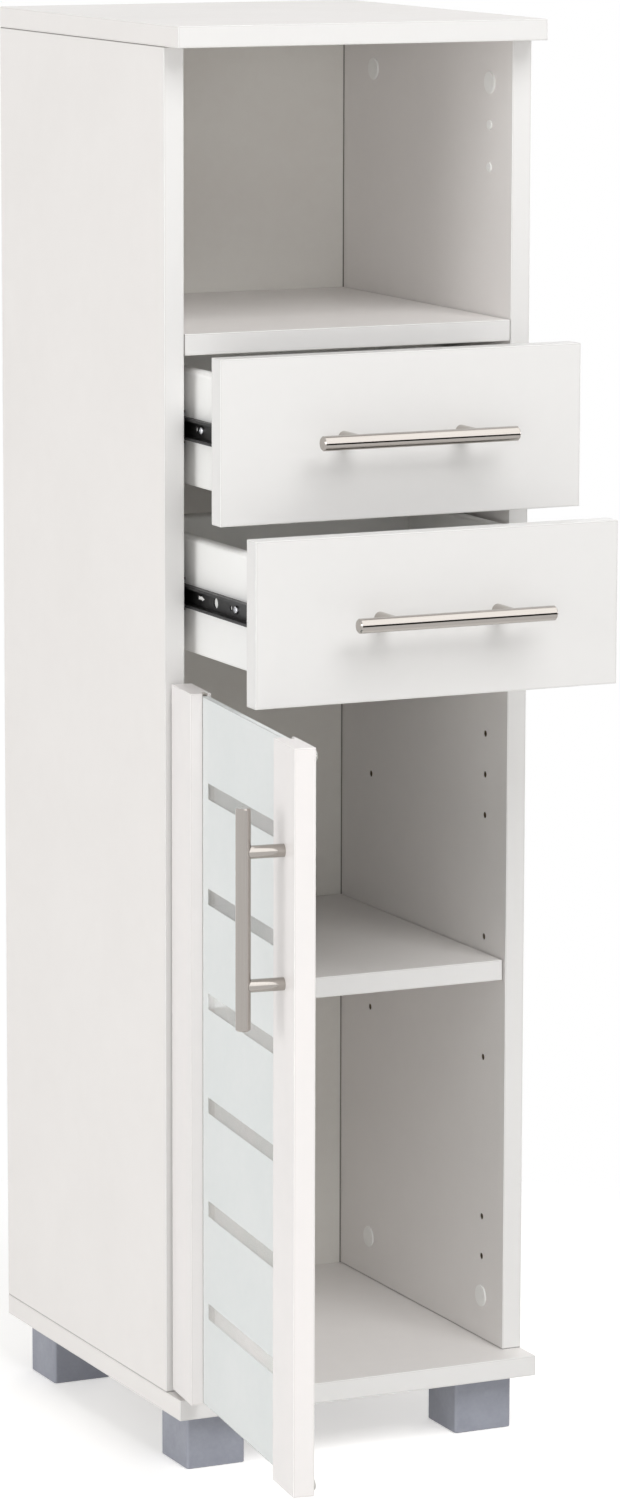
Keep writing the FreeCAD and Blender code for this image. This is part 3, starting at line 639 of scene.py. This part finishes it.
@dataclass(frozen=True)
class MetalFinish:
    """Brushed or plated metal with strokes along one way."""

    name: str
    face: Colour
    stroke_tone: Colour
    dull: Pair
    run: float = 14.0
    strokes: float = 2600.0
    cloud_dulling: float = 0.05
    depth: float = 0.02 * MM

    @cache
    def material(self, stroke: Stroke = Stroke.ALONG_X, swing: Swing = STILL) -> Material:
        """Make the finish for one way of rubbing.

        Args:
            stroke: The way that the strokes run.
            swing: The turn that the piece has at rest.

        Returns:
            The material.
        """
        name = f"{self.name}_{stroke.name.lower()}" + ("" if swing is STILL else "_swung")
        look = Surface(name, swing, stroke, Metallic=1.0)
        lines = look.lines(self.run, self.strokes)
        colour = look.blend(lines["Height"], self.face, self.stroke_tone)
        dull = look.between(lines["Mask"], *self.dull)
        cloudy = look.times(look.clouds(scale=25.0), self.cloud_dulling)
        look.wear(colour, look.plus(dull, cloudy))
        look.bump(lines["Height"], strength=0.25, depth=self.depth)
        return look.material


@dataclass(frozen=True)
class RailFinish:
    """Black coating on pressed steel, dulled by handling."""

    name: str
    face: Colour
    dusted: Colour
    dust_share: float = 0.5

    @cache
    def material(self) -> Material:
        """Make the finish.

        Returns:
            The material.
        """
        look = Surface(self.name, Specular_IOR_Level=0.3)
        cloud = look.clouds(scale=30.0)
        drag = look.lines(run=1500.0, strokes=20.0)["Mask"]
        share = look.times(look.times(cloud, drag), self.dust_share)
        colour = look.blend(share, self.face, self.dusted)
        look.wear(colour, look.between(cloud, low=0.3, high=0.42))
        look.bump(look.skin(grain=1400.0), strength=0.2, depth=0.05 * MM)
        return look.material


@dataclass(frozen=True)
class ClearFinish:
    """Glass, an etched coat or soft clear rubber, with clouds where it was handled."""

    name: str
    face: Colour
    cloud: Colour
    transmission: float
    scale: float
    dull: Pair
    ior: float = 1.5
    grain: Optional[float] = None

    def material(self) -> Material:
        """Make the finish.

        Returns:
            The material.
        """
        plain = {"Metallic": 0.0, "Transmission_Weight": self.transmission, "IOR": self.ior}
        look = Surface(self.name, **plain)
        cloud = look.clouds(self.scale)
        colour = look.blend(cloud, self.face, self.cloud)
        look.wear(colour, look.between(cloud, *self.dull))
        if self.grain is not None:
            look.bump(look.skin(self.grain), strength=0.25, depth=0.03 * MM)
        return look.material


@dataclass(frozen=True)
class BeechFinish:
    """Plain beech with short flecks along the peg."""

    name: str
    face: Colour
    fleck: Colour

    @cache
    def material(self, stroke: Stroke) -> Material:
        """Make the finish for pegs that lie one way.

        Args:
            stroke: The way that they lie.

        Returns:
            The material.
        """
        look = Surface(f"{self.name}_{stroke.name.lower()}", stroke=stroke)
        grain = look.lines(run=60.0, strokes=900.0)
        colour = look.blend(grain["Mask"], self.face, self.fleck)
        look.wear(colour, look.between(grain["Mask"], low=0.55, high=0.7))
        look.bump(grain["Height"], strength=0.3, depth=0.1 * MM)
        return look.material


SIDE_BOARD = BoardFinish(
    "side_melamine", srgb(236, 233, 231), srgb(234, 231, 229), srgb(170, 166, 162),
    # front: painted shade on the front edges
    front=srgb(228, 227, 226))
# Drawer box boards: a more neutral white, and lighter than the case boards partly as painted light
# that offsets the shade beside the case sides.
BOX_BOARD = BoardFinish(
    "drawer_box_melamine", srgb(247, 247, 246), srgb(245, 245, 243), srgb(176, 174, 171),
    raw_dark=srgb(232, 231, 229), raw_pale=srgb(240, 239, 237))
FRONT_BOARD = BoardFinish(
    "front_melamine", srgb(230, 229, 228), srgb(228, 227, 226), srgb(160, 157, 154),
    dull=(0.32, 0.41))
STILE_BOARD = BoardFinish(
    "stile_melamine", srgb(238, 234, 233), srgb(235, 232, 231), srgb(170, 164, 161),
    dull=(0.32, 0.41), raw_dark=srgb(206, 200, 193), raw_pale=srgb(222, 217, 211))
HARDBOARD = HardboardFinish(
    "lacquered_hardboard", srgb(232, 230, 225), srgb(229, 226, 221), srgb(96, 90, 82))
NICKEL = MetalFinish(
    "brushed_nickel", srgb(183, 178, 173), srgb(166, 160, 154),
    dull=(0.05, 0.09), depth=0.01 * MM)
BRIGHT = MetalFinish(
    "bright_zinc", srgb(214, 214, 216), srgb(198, 199, 203),
    dull=(0.19, 0.29), run=200.0, strokes=900.0)
PLATED = MetalFinish(
    "plated_fitting", srgb(204, 203, 200), srgb(188, 187, 185),
    dull=(0.23, 0.33), run=60.0, strokes=1500.0)
CAGE = MetalFinish(
    "cage_steel", srgb(178, 179, 183), srgb(160, 161, 165),
    dull=(0.3, 0.4), run=40.0, strokes=1200.0)
RAIL = RailFinish("black_coated_rail", srgb(18, 18, 19), srgb(44, 43, 42))
FOOT = PlasticFinish(
    "foot_plastic", srgb(152, 155, 166), srgb(143, 146, 157), srgb(172, 175, 185))
CAP = PlasticFinish(
    "cap_plastic", srgb(246, 246, 244), srgb(242, 242, 240), srgb(250, 250, 248),
    dull=(0.35, 0.46))
GLASS = ClearFinish(
    "clear_glass", srgb(242, 248, 245), WHITE,
    transmission=1.0, scale=18.0, dull=(0.0, 0.06))
FROST = ClearFinish(
    "frosted_coat", srgb(240, 243, 243), srgb(237, 241, 241),
    transmission=0.15, scale=14.0, dull=(0.5, 0.6), grain=4000.0)
BUMPER = ClearFinish(
    "clear_bumper", srgb(232, 232, 228), srgb(220, 220, 215),
    transmission=0.55, scale=90.0, dull=(0.25, 0.4), ior=1.45)
BEECH = BeechFinish("plain_beech", srgb(220, 190, 150), srgb(190, 152, 108))


class GeometryTree(GroupTree):
    """A Geometry Nodes tree with named inputs, run once over an object to make a plain mesh."""

    def __init__(self, name: str, sizes: Iterable[str]) -> None:
        """Open the tree.

        Args:
            name: The tree's name.
            sizes: Names of its number inputs.
        """
        kinds = {label: "Int" if label.endswith("Count") else "Float" for label in sizes}
        solid = {"Geometry": "Geometry"}
        super().__init__("Geometry", name, {**solid, **kinds, "Finish": "Material"}, solid)

    def block(self, *sides: Socket) -> Socket:
        """Make a block about the origin."""
        return self.made("GeometryNodeMeshCube", {"Size": self.join(*sides)})

    def moved(self, solid: Socket, **how: Any) -> Socket:
        """Shift or turn a solid."""
        return self.made("GeometryNodeTransform", {"Geometry": solid, **how})

    def cut(self, solid: Socket, cutters: list[Socket]) -> Socket:
        """Cut solids out of a solid."""
        how = {"operation": "DIFFERENCE", "solver": "EXACT"}
        return self.made("GeometryNodeMeshBoolean", {"Mesh 1": solid, "Mesh 2": cutters}, **how)

    def gathered(self, solids: list[Socket]) -> Socket:
        """Gather solids into one piece."""
        return self.made("GeometryNodeJoinGeometry", {"Geometry": solids})

    def real(self, instances: Socket) -> Socket:
        """Make instances real."""
        return self.made("GeometryNodeRealizeInstances", {"Geometry": instances})

    def hand_out(self, geometry: Socket) -> None:
        """End the tree: instances made real, then the finish set."""
        feeds = {"Geometry": self.real(geometry), "Material": self.given["Finish"]}
        self.close(Geometry=self.made("GeometryNodeSetMaterial", feeds))

    def run(self, name: str, start: bpy.types.Mesh, sizes: dict, finish: Material) -> Piece:
        """Run the tree over a start mesh and keep the result as a plain mesh.

        Args:
            name: The new piece's name.
            start: The mesh that the tree works on.
            sizes: Number inputs by name.
            finish: The material that the tree sets.

        Returns:
            The new piece, at the origin.
        """
        piece = stand(name, start)
        modifier = piece.modifiers.new(name, "NODES")
        modifier.node_group = self.tree
        values = dict(sizes, Finish=finish)
        for item in self.tree.interface.items_tree:
            if item.in_out == "INPUT" and item.name in values:
                modifier[item.identifier] = values[item.name]
        graph = bpy.context.evaluated_depsgraph_get()
        mesh = bpy.data.meshes.new_from_object(piece.evaluated_get(graph), depsgraph=graph)
        piece.modifiers.remove(modifier)
        piece.data = mesh
        mesh.name = name
        return piece


class ScrewTree(GeometryTree):
    """Sets screws with one shape of head on points, in shares of the screws' own sizes."""

    SIZES = ("Head Diameter", "Head Height", "Shank Diameter", "Shank Length")
    ROUND_COUNT, DOME_POWER = 24, 0.6
    BLADE_LENGTH, BLADE_WIDTH, BLADE_DEPTH = 0.58, 0.16, 1.2
    CORE_RADIUS, TIP_RADIUS, RIDGE_RADIUS, THREAD_LENGTH = 0.36, 0.08, 0.13, 0.86
    UPSIDE_DOWN = (math.pi, 0.0, 0.0)

    def __init__(self, shape: HeadShape) -> None:
        """Build the tree.

        Args:
            shape: The shape of the heads.
        """
        super().__init__(f"{shape.value}_head_screws", self.SIZES)
        head = self._pan() if shape is HeadShape.PAN else self._flush()
        screw = self.gathered([self.cut(head, self._cross()), *self._shank()])
        how = {"data_type": "FLOAT_VECTOR"}
        aim = self.made("GeometryNodeInputNamedAttribute", {"Name": "aim"}, **how)
        turn = self.made("FunctionNodeAlignRotationToVector", {"Vector": aim}, axis="Z")
        feeds = {"Points": self.given["Geometry"], "Instance": screw, "Rotation": turn}
        self.hand_out(self.made("GeometryNodeInstanceOnPoints", feeds))

    def _pan(self) -> Socket:
        """Make a domed head that stands on the plane of zero.

        Returns:
            The head.
        """
        radius = self.times(self.given["Head Diameter"], HALF)
        feeds = {"Segments": self.ROUND_COUNT, "Rings": 12, "Radius": 1.0}
        ball = self.made("GeometryNodeMeshUVSphere", feeds)
        x, y, z = self.split(self.made("GeometryNodeInputPosition"))
        steep = self.math("POWER", self.math("MAXIMUM", z, 0.0), self.DOME_POWER)
        height = self.times(steep, self.given["Head Height"])
        place = self.join(self.times(x, radius), self.times(y, radius), height)
        return self.made("GeometryNodeSetPosition", {"Geometry": ball, "Position": place})

    def _flush(self) -> Socket:
        """Make a countersunk head whose flat top lies at the head's height.

        Returns:
            The head.
        """
        wide = self.times(self.given["Head Diameter"], HALF)
        narrow = self.times(self.given["Shank Diameter"], HALF)
        feeds = {"Vertices": self.ROUND_COUNT, "Radius Top": wide, "Radius Bottom": narrow}
        return self.made("GeometryNodeMeshCone", {**feeds, "Depth": self.given["Head Height"]})

    def _cross(self) -> list[Socket]:
        """Make the two blades that cut the cross recess.

        Returns:
            The blades.
        """
        diameter, height = self.given["Head Diameter"], self.given["Head Height"]
        long, thin = self.times(diameter, self.BLADE_LENGTH), self.times(diameter, self.BLADE_WIDTH)
        tall, top = self.times(height, self.BLADE_DEPTH), self.join(0.0, 0.0, height)
        blades = [self.block(long, thin, tall), self.block(thin, long, tall)]
        return [self.moved(blade, Translation=top) for blade in blades]

    def _shank(self) -> list[Socket]:
        """Make the shank below the head.

        Returns:
            The core, and the thread that winds down it.
        """
        diameter, length = self.given["Shank Diameter"], self.given["Shank Length"]
        radii = (self.CORE_RADIUS, self.TIP_RADIUS, self.RIDGE_RADIUS)
        core, tip, ridge = [self.times(diameter, radius) for radius in radii]
        feeds = {"Vertices": 12, "Radius Top": tip, "Radius Bottom": core, "Depth": length}
        rod = self.made("GeometryNodeMeshCone", feeds)
        height = self.times(length, self.THREAD_LENGTH)
        feeds = {"Resolution": 12, "Rotations": 7.0, "Start Radius": core, "End Radius": tip}
        coil = self.made("GeometryNodeCurveSpiral", {**feeds, "Height": height})
        feeds = {"Resolution": 3, "Radius": ridge}
        profile = self.made("GeometryNodeCurvePrimitiveCircle", feeds)
        feeds = {"Curve": coil, "Profile Curve": profile, "Fill Caps": True}
        thread = self.made("GeometryNodeCurveToMesh", feeds)
        return [self.moved(solid, Rotation=self.UPSIDE_DOWN) for solid in (rod, thread)]


class CoatTree(GeometryTree):
    """Cuts a row of stripes out of a thin plate and adds the ground ends of the pane."""

    CUT_DEPTH, END_RISE = 3.0, 4.0

    def __init__(self, sizes: Iterable[str]) -> None:
        """Build the coat's tree.

        Args:
            sizes: Names of its number inputs.
        """
        super().__init__("striped_coat", sizes)
        given = self.given
        plate = self.block(given["Width"], given["Coat"], given["Height"])
        through = self.times(given["Coat"], self.CUT_DEPTH)
        window = self.block(given["Stripe Length"], through, given["Stripe Height"])
        start = self.join(given["Stripe Shift"], 0.0, given["First Stripe"])
        step = self.join(0.0, 0.0, given["Stripe Pitch"])
        feeds = {"Count": given["Stripe Count"], "Start Location": start, "Offset": step}
        feeds = {"Points": self.made("GeometryNodeMeshLine", feeds), "Instance": window}
        windows = self.real(self.made("GeometryNodeInstanceOnPoints", feeds))
        self.hand_out(self.gathered([self.cut(plate, [windows]), *self._ground_ends()]))

    def _ground_ends(self) -> list[Socket]:
        """Grind the top and bottom edge of the pane.

        Returns:
            The two ground strips.
        """
        width, height = self.given["Width"], self.given["Height"]
        coat, glass = self.given["Coat"], self.given["Glass"]
        strip = self.block(width, self.plus(glass, coat), coat)
        back = self.times(glass, HALF)
        rise = self.plus(self.times(height, HALF), self.times(coat, self.END_RISE))
        levels = (rise, self.times(rise, -1.0))
        return [self.moved(strip, Translation=self.join(0.0, back, level)) for level in levels]


@dataclass(frozen=True)
class ScrewKind:
    """The shape and sizes of one kind of screw."""

    shape: HeadShape
    head_diameter: float
    head_height: float
    shank_diameter: float


SUNK_SCREW = ScrewKind(HeadShape.FLUSH, 6.5 * MM, 1.8 * MM, 3.5 * MM)
SMALL_SCREW = ScrewKind(HeadShape.PAN, 6.5 * MM, 1.8 * MM, 3.5 * MM)
CLAMP_SCREW = ScrewKind(HeadShape.PAN, 7.5 * MM, 2.0 * MM, 4.0 * MM)
PLATE_SCREW = ScrewKind(HeadShape.PAN, 8.0 * MM, 2.0 * MM, 4.0 * MM)
LARGE_SCREW = ScrewKind(HeadShape.PAN, 8.0 * MM, 2.5 * MM, 4.0 * MM)


@dataclass
class ScrewSet:
    """The screws of one CAD node, made again with cross recesses and threads."""

    node: str
    body: Body
    kind: ScrewKind
    swing: Swing = STILL

    def build(self, tree: ScrewTree, finish: Material) -> None:
        """Set a screw on each seat and let the piece stand for the CAD node.

        Args:
            tree: The tree for the shape of head.
            finish: The screws' material.
        """
        kind = self.kind
        seats, length = self._seats()
        start = bpy.data.meshes.new(self.node + "_seats")
        start.from_pydata([place for place, _ in seats], [], [])
        aims = start.attributes.new("aim", "FLOAT_VECTOR", "POINT")
        aims.data.foreach_set("vector", [part for _, aim in seats for part in aim])
        lengths = (kind.head_diameter, kind.head_height, kind.shank_diameter, length)
        sizes = dict(zip(tree.SIZES, lengths))
        piece = tree.run(self.node + "_threaded", start, sizes, finish)
        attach(piece, self.body.value)
        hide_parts(self.node)
        log.info("%s: %d screws", piece.name, len(seats))

    def _seats(self) -> tuple[list[tuple[Vector, Vector]], float]:
        """Find where the screws sit.

        Returns:
            The underside of each head with the way that it points, and the shank's length.
        """
        rest, head = self.swing.to_rest(), self.kind.head_height
        seats, length = [], 0.0
        for solid in shells(self.node, self.swing):
            low, high = extent(solid)
            size, middle = high - low, (low + high) / 2
            axis = max(range(3), key=lambda i: size[i])
            widest = max(solid, key=lambda point: (point - middle)[axis - 1])
            aim = Vector()
            aim[axis] = math.copysign(1.0, (widest - middle)[axis])
            top = middle.copy()
            top[axis] = (low if aim[axis] < 0 else high)[axis]
            length = size[axis] - head
            seats.append((rest @ (top - aim * head), rest.to_3x3() @ aim))
        return seats, length


@dataclass
class Carcass:
    """The standing case with its shelves, feet, rails and hidden fittings."""

    boards: tuple[str, ...] = ("top_panel", "base_panel", "adjustable_shelf")
    uprights: tuple[str, ...] = ("left_side", "right_side")
    levels: tuple[str, ...] = ("niche_shelf",)
    feet: tuple[str, ...] = (
        "front_left_foot", "front_right_foot", "rear_left_foot", "rear_right_foot")
    caps: tuple[str, ...] = ("cam_caps", "hole_plugs")
    plated: tuple[str, ...] = ("cam_locks", "hinge_plates", "hinge_arms")
    bright: tuple[str, ...] = ("shelf_pins", "cam_bolts")

    def dress(self) -> None:
        """Give every fixed piece its finish."""
        SIDE_BOARD.dress(self.boards)
        SIDE_BOARD.dress(self.uprights, joint=Joint.UPRIGHT)
        SIDE_BOARD.dress(self.levels, joint=Joint.LEVEL)
        dress(["back_panel"], HARDBOARD.material())
        FOOT.dress(self.feet)
        CAP.dress(self.caps)
        dress(self.plated, PLATED.material(Stroke.ALONG_Y))
        dress(self.bright, BRIGHT.material())
        dress(["cabinet_rails"], RAIL.material())
        dress(["carcass_dowels"], BEECH.material(Stroke.ALONG_X))

    def screws(self) -> list[ScrewSet]:
        """List the screws that go into the fixed boards.

        Returns:
            The sets of screws.
        """
        kinds = {
            "cabinet_rail_screws": SUNK_SCREW,
            "hinge_plate_screws": PLATE_SCREW,
            "hinge_arm_screws": CLAMP_SCREW,
            "foot_screws": LARGE_SCREW,
        }
        return [ScrewSet(node, Body.CARCASS, kind) for node, kind in kinds.items()]


@dataclass
class Drawer:
    """One drawer with its front, box, handle and running rails."""

    body: Body

    def part(self, name: str) -> str:
        """Give the CAD node of one of the drawer's parts."""
        return f"{self.body.value}_{name}"

    def dress(self) -> None:
        """Give the drawer's pieces their finish."""
        FRONT_BOARD.dress([self.part("front")])
        BOX_BOARD.dress([self.part(name) for name in ("left_side", "right_side", "back")])
        finishes = {
            "bottom": HARDBOARD.material(),
            "handle_bar": NICKEL.material(),
            "handle_posts": NICKEL.material(Stroke.ALONG_Y),
            "rails": RAIL.material(),
            "ball_cages": CAGE.material(Stroke.ALONG_Y),
            "balls": BRIGHT.material(),
            "dowels": BEECH.material(Stroke.ALONG_Y),
        }
        for name, finish in finishes.items():
            dress([self.part(name)], finish)

    def screws(self) -> list[ScrewSet]:
        """List the drawer's screws."""
        kinds = {"rail_screws": SMALL_SCREW, "handle_screws": LARGE_SCREW}
        return [ScrewSet(self.part(name), self.body, kind) for name, kind in kinds.items()]


@dataclass
class Door:
    """The door of two stiles and a frosted pane with clear stripes."""

    swing: Swing = DOOR_SWING
    pane_half: float = 99.4 * MM
    hinge_margin: float = 1.2 * MM
    glass_thickness: float = 4.0 * MM
    pane_end: float = 0.3 * MM
    coat: float = 0.1 * MM
    coat_gap: float = 0.02 * MM
    stripe_length: float = 171.0 * MM
    stripe_height: float = 12.0 * MM
    stripe_count: int = 6
    first_stripe: float = 139.4 * MM
    stripe_pitch: float = 79.14 * MM

    def dress(self) -> None:
        """Give the door's pieces their finish."""
        STILE_BOARD.dress(["door_hinge_stile", "door_handle_stile"], swing=self.swing)
        finishes = {
            "door_glass": GLASS.material(),
            "door_handle_bar": NICKEL.material(Stroke.ALONG_Z, self.swing),
            "door_handle_posts": NICKEL.material(Stroke.ALONG_Y, self.swing),
            "door_bumpers": BUMPER.material(),
            "hinge_cups": PLATED.material(Stroke.ALONG_Z),
            "hinge_pins": BRIGHT.material(Stroke.ALONG_Z),
        }
        for name, finish in finishes.items():
            dress([name], finish)

    def screws(self) -> list[ScrewSet]:
        """List the door's screws."""
        kinds = {"hinge_cup_screws": SMALL_SCREW, "door_handle_screws": LARGE_SCREW}
        return [ScrewSet(node, Body.DOOR, kind, self.swing) for node, kind in kinds.items()]

    def build_coat(self) -> None:
        """Lay the frosted coat on the glass, with its clear stripes cut out."""
        low, high = node_extent("door_glass", self.swing)
        middle = (low.z + high.z) / 2
        sizes = {
            "Width": 2 * self.pane_half - self.hinge_margin,
            "Height": high.z - low.z - 2 * self.pane_end,
            "Coat": self.coat,
            "Glass": self.glass_thickness,
            "Stripe Length": self.stripe_length,
            "Stripe Height": self.stripe_height,
            "Stripe Count": self.stripe_count,
            "Stripe Pitch": self.stripe_pitch,
            "First Stripe": self.first_stripe - middle,
            "Stripe Shift": -self.hinge_margin / 2,
        }
        start = bpy.data.meshes.new("frosted_coat_start")
        piece = CoatTree(sizes).run("frosted_coat", start, sizes, FROST.material())
        front = low.y - self.coat_gap - self.coat / 2
        place = Matrix.Translation((self.hinge_margin / 2, front, middle))
        piece.data.transform(self.swing.to_rest() @ place)
        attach(piece, Body.DOOR.value)
        log.info("%s: %d clear stripes", piece.name, self.stripe_count)


@dataclass(frozen=True)
class Softbox:
    """A soft lamp, with its place and size in metres and its power in watts."""

    name: str
    place: Place
    size: Pair
    power: float

    def build(self, target: Place) -> None:
        """Hang the lamp.

        Args:
            target: The place that it faces.
        """
        light = bpy.data.lights.new(self.name, "AREA")
        light.shape = "RECTANGLE"
        light.size, light.size_y = self.size
        light.energy = self.power
        lamp = stand(self.name, light)
        lamp.location = self.place
        way = Vector(target) - Vector(self.place)
        lamp.rotation_euler = way.to_track_quat("-Z", "Y").to_euler()
        lamp.visible_camera = False


@dataclass(frozen=True)
class MirrorSheet:
    """A sheet that shows in mirrored rays alone, with the depth and height of both long edges."""

    name: str
    span: Pair
    low: Pair
    high: Pair

    def build(self, material: Material) -> None:
        """Hang the sheet.

        Args:
            material: What it is made of.
        """
        left, right = self.span
        corners = [(left, *self.low), (right, *self.low), (right, *self.high), (left, *self.high)]
        mesh = bpy.data.meshes.new(self.name)
        mesh.from_pydata(corners, [], [(0, 1, 2, 3)])
        mesh.materials.append(material)
        sheet = stand(self.name, mesh)
        sheet.visible_camera = sheet.visible_diffuse = False
        sheet.visible_shadow = sheet.visible_transmission = False


@dataclass
class Studio:
    """The pale floor, the white surroundings, the soft lamps, and the sheets that only metal
    mirrors as painted reflections.
    """

    ambient: float = 0.42
    ambient_shade: Colour = srgb(255, 254, 252)
    floor_reach: float = 6.0
    floor_drop: float = 0.2 * MM
    floor_shade: Colour = srgb(240, 239, 238)
    bounce_shade: Colour = srgb(228, 227, 225)
    floor_lift: float = 0.4
    # Painted reflection: a dark sheet seen by mirrored rays alone, which draws the dark line on
    # shiny metal.
    flag: MirrorSheet = MirrorSheet("dark_flag", (0.0, 3.0), (-1.15, 0.45), (-1.15, 0.82))
    dark_reflection_deep: Colour = srgb(20, 19, 18)
    dark_reflection_light: Colour = srgb(30, 28, 27)
    # Painted highlight: a glowing sheet seen by mirrored rays alone, which draws the white band on
    # shiny metal and lights nothing.
    card: MirrorSheet = MirrorSheet("bright_card", (0.2, 5.0), (-4.6, 1.0), (0.5, 6.0))
    card_light: float = 2.0
    lamp_target: Place = (0.0, -0.1, 0.55)
    lamps: tuple[Softbox, ...] = (
        Softbox("front_softbox", (0.3, -4.9, 5.8), (4.6, 4.2), 290.0),
        Softbox("side_softbox", (-6.2, -1.0, 1.6), (4.0, 3.2), 146.0),
        Softbox("fill_softbox", (-2.6, -4.9, 1.0), (2.4, 1.6), 36.0),
        Softbox("rear_softbox", (5.0, 4.2, 1.4), (4.0, 2.6), 140.0),
    )

    def build(self) -> None:
        """Set the scene up round the cabinet."""
        bpy.context.scene.view_settings.view_transform = "Standard"
        self._world()
        self._floor()
        self.flag.build(self._flag_cloth())
        self.card.build(self._card_light())
        for lamp in self.lamps:
            lamp.build(self.lamp_target)
        log.info("studio set")

    def _world(self) -> None:
        """Make the surroundings white to see, and softer as light."""
        world = bpy.data.worlds.new("studio")
        bpy.context.scene.world = world
        graph = bare_graph(world)
        feeds = {"Color": self.ambient_shade, "Strength": self.ambient}
        soft = graph.made("ShaderNodeBackground", feeds)
        white = graph.made("ShaderNodeBackground", {"Color": WHITE, "Strength": 1.0})
        graph.add("ShaderNodeOutputWorld", {"Surface": graph.by_ray(soft, white)})

    def _floor(self) -> None:
        """Lay a pale floor that keeps the cabinet's shadow and fades to white."""
        made = bmesh.new()
        bmesh.ops.create_circle(made, cap_ends=True, radius=self.floor_reach, segments=96)
        bmesh.ops.translate(made, verts=made.verts, vec=(0.0, 0.0, -self.floor_drop))
        mesh = bpy.data.meshes.new("studio_floor")
        made.to_mesh(mesh)
        made.free()
        floor = stand("studio_floor", mesh)
        mesh.materials.append(self._floor_paint())

    def _floor_paint(self) -> Material:
        """Make the floor's paint.

        Returns:
            The material.
        """
        material = bpy.data.materials.new("studio_floor_paint")
        graph = bare_graph(material)
        where = graph.add("ShaderNodeTexCoord").outputs["Object"]
        length = graph.add("ShaderNodeVectorMath", {0: where}, operation="LENGTH")
        far = graph.rise(length.outputs["Value"], start=0.2, full=0.75)
        paint = graph.made("ShaderNodeBsdfDiffuse", {"Color": self.floor_shade})
        near = graph.made("ShaderNodeAddShader", {0: paint, 1: graph.glow(self.floor_lift)})
        shown = graph.made("ShaderNodeMixShader", {0: far, 1: near, 2: graph.glow(1.0)})
        bounce = graph.made("ShaderNodeBsdfDiffuse", {"Color": self.bounce_shade})
        graph.add("ShaderNodeOutputMaterial", {"Surface": graph.by_ray(bounce, shown)})
        return material

    def _flag_cloth(self) -> Material:
        """Make the painted dark reflection, a sheet that shiny metal sees as a line.

        Returns:
            The material.
        """
        # Painted reflection: this dark sheet shows only in mirrored rays and casts no shade.
        cloth = Surface("flag_cloth", Roughness=1.0, Specular_IOR_Level=0.0)
        tone = cloth.blend(cloth.clouds(scale=1.5), self.dark_reflection_deep, self.dark_reflection_light)
        cloth.feed(cloth.shader.inputs["Base Color"], tone)
        return cloth.material

    def _card_light(self) -> Material:
        """Make the painted highlight, a glow that shiny metal alone sees as a white band.

        Returns:
            The material.
        """
        # Painted highlight: a glow that only mirrored rays see.
        material = bpy.data.materials.new("card_light")
        graph = bare_graph(material)
        graph.add("ShaderNodeOutputMaterial", {"Surface": graph.glow(self.card_light)})
        return material


@dataclass
class PhotoCamera:
    """The camera at the place from which the cabinet was photographed."""

    place_mm: Place = (-1896.89, -4090.78, 1304.38)
    yaw: float = -0.4415
    pitch: float = -0.1717
    roll: float = 0.0024
    focal_pixels: float = 5865.44
    long_side: int = 1500
    sensor: float = 36.0
    far_end: float = 100.0

    def build(self) -> None:
        """Make the camera and let the scene look through it."""
        data = bpy.data.cameras.new("photo_camera")
        data.sensor_width = self.sensor
        data.lens = self.sensor * self.focal_pixels / self.long_side
        data.clip_end = self.far_end
        camera = stand("photo_camera", data)
        place = Matrix.Translation(Vector(self.place_mm) * MM)
        aim = Matrix.Rotation(self.yaw, 4, "Z") @ Matrix.Rotation(math.pi / 2 + self.pitch, 4, "X")
        camera.matrix_world = place @ aim @ Matrix.Rotation(self.roll, 4, "Z")
        bpy.context.scene.camera = camera


def main() -> None:
    """Build and dress the cabinet, piece by piece, and set its studio."""
    logging.basicConfig(level=logging.INFO, format="%(message)s")
    PhotoCamera().build()
    Studio().build()
    door = Door()
    assemblies = [Carcass(), door, Drawer(Body.UPPER_DRAWER), Drawer(Body.LOWER_DRAWER)]
    for assembly in assemblies:
        assembly.dress()
    door.build_coat()
    trees = {shape: ScrewTree(shape) for shape in HeadShape}
    for assembly in assemblies:
        for screws in assembly.screws():
            screws.build(trees[screws.kind.shape], BRIGHT.material())


if __name__ == "__main__":
    main()
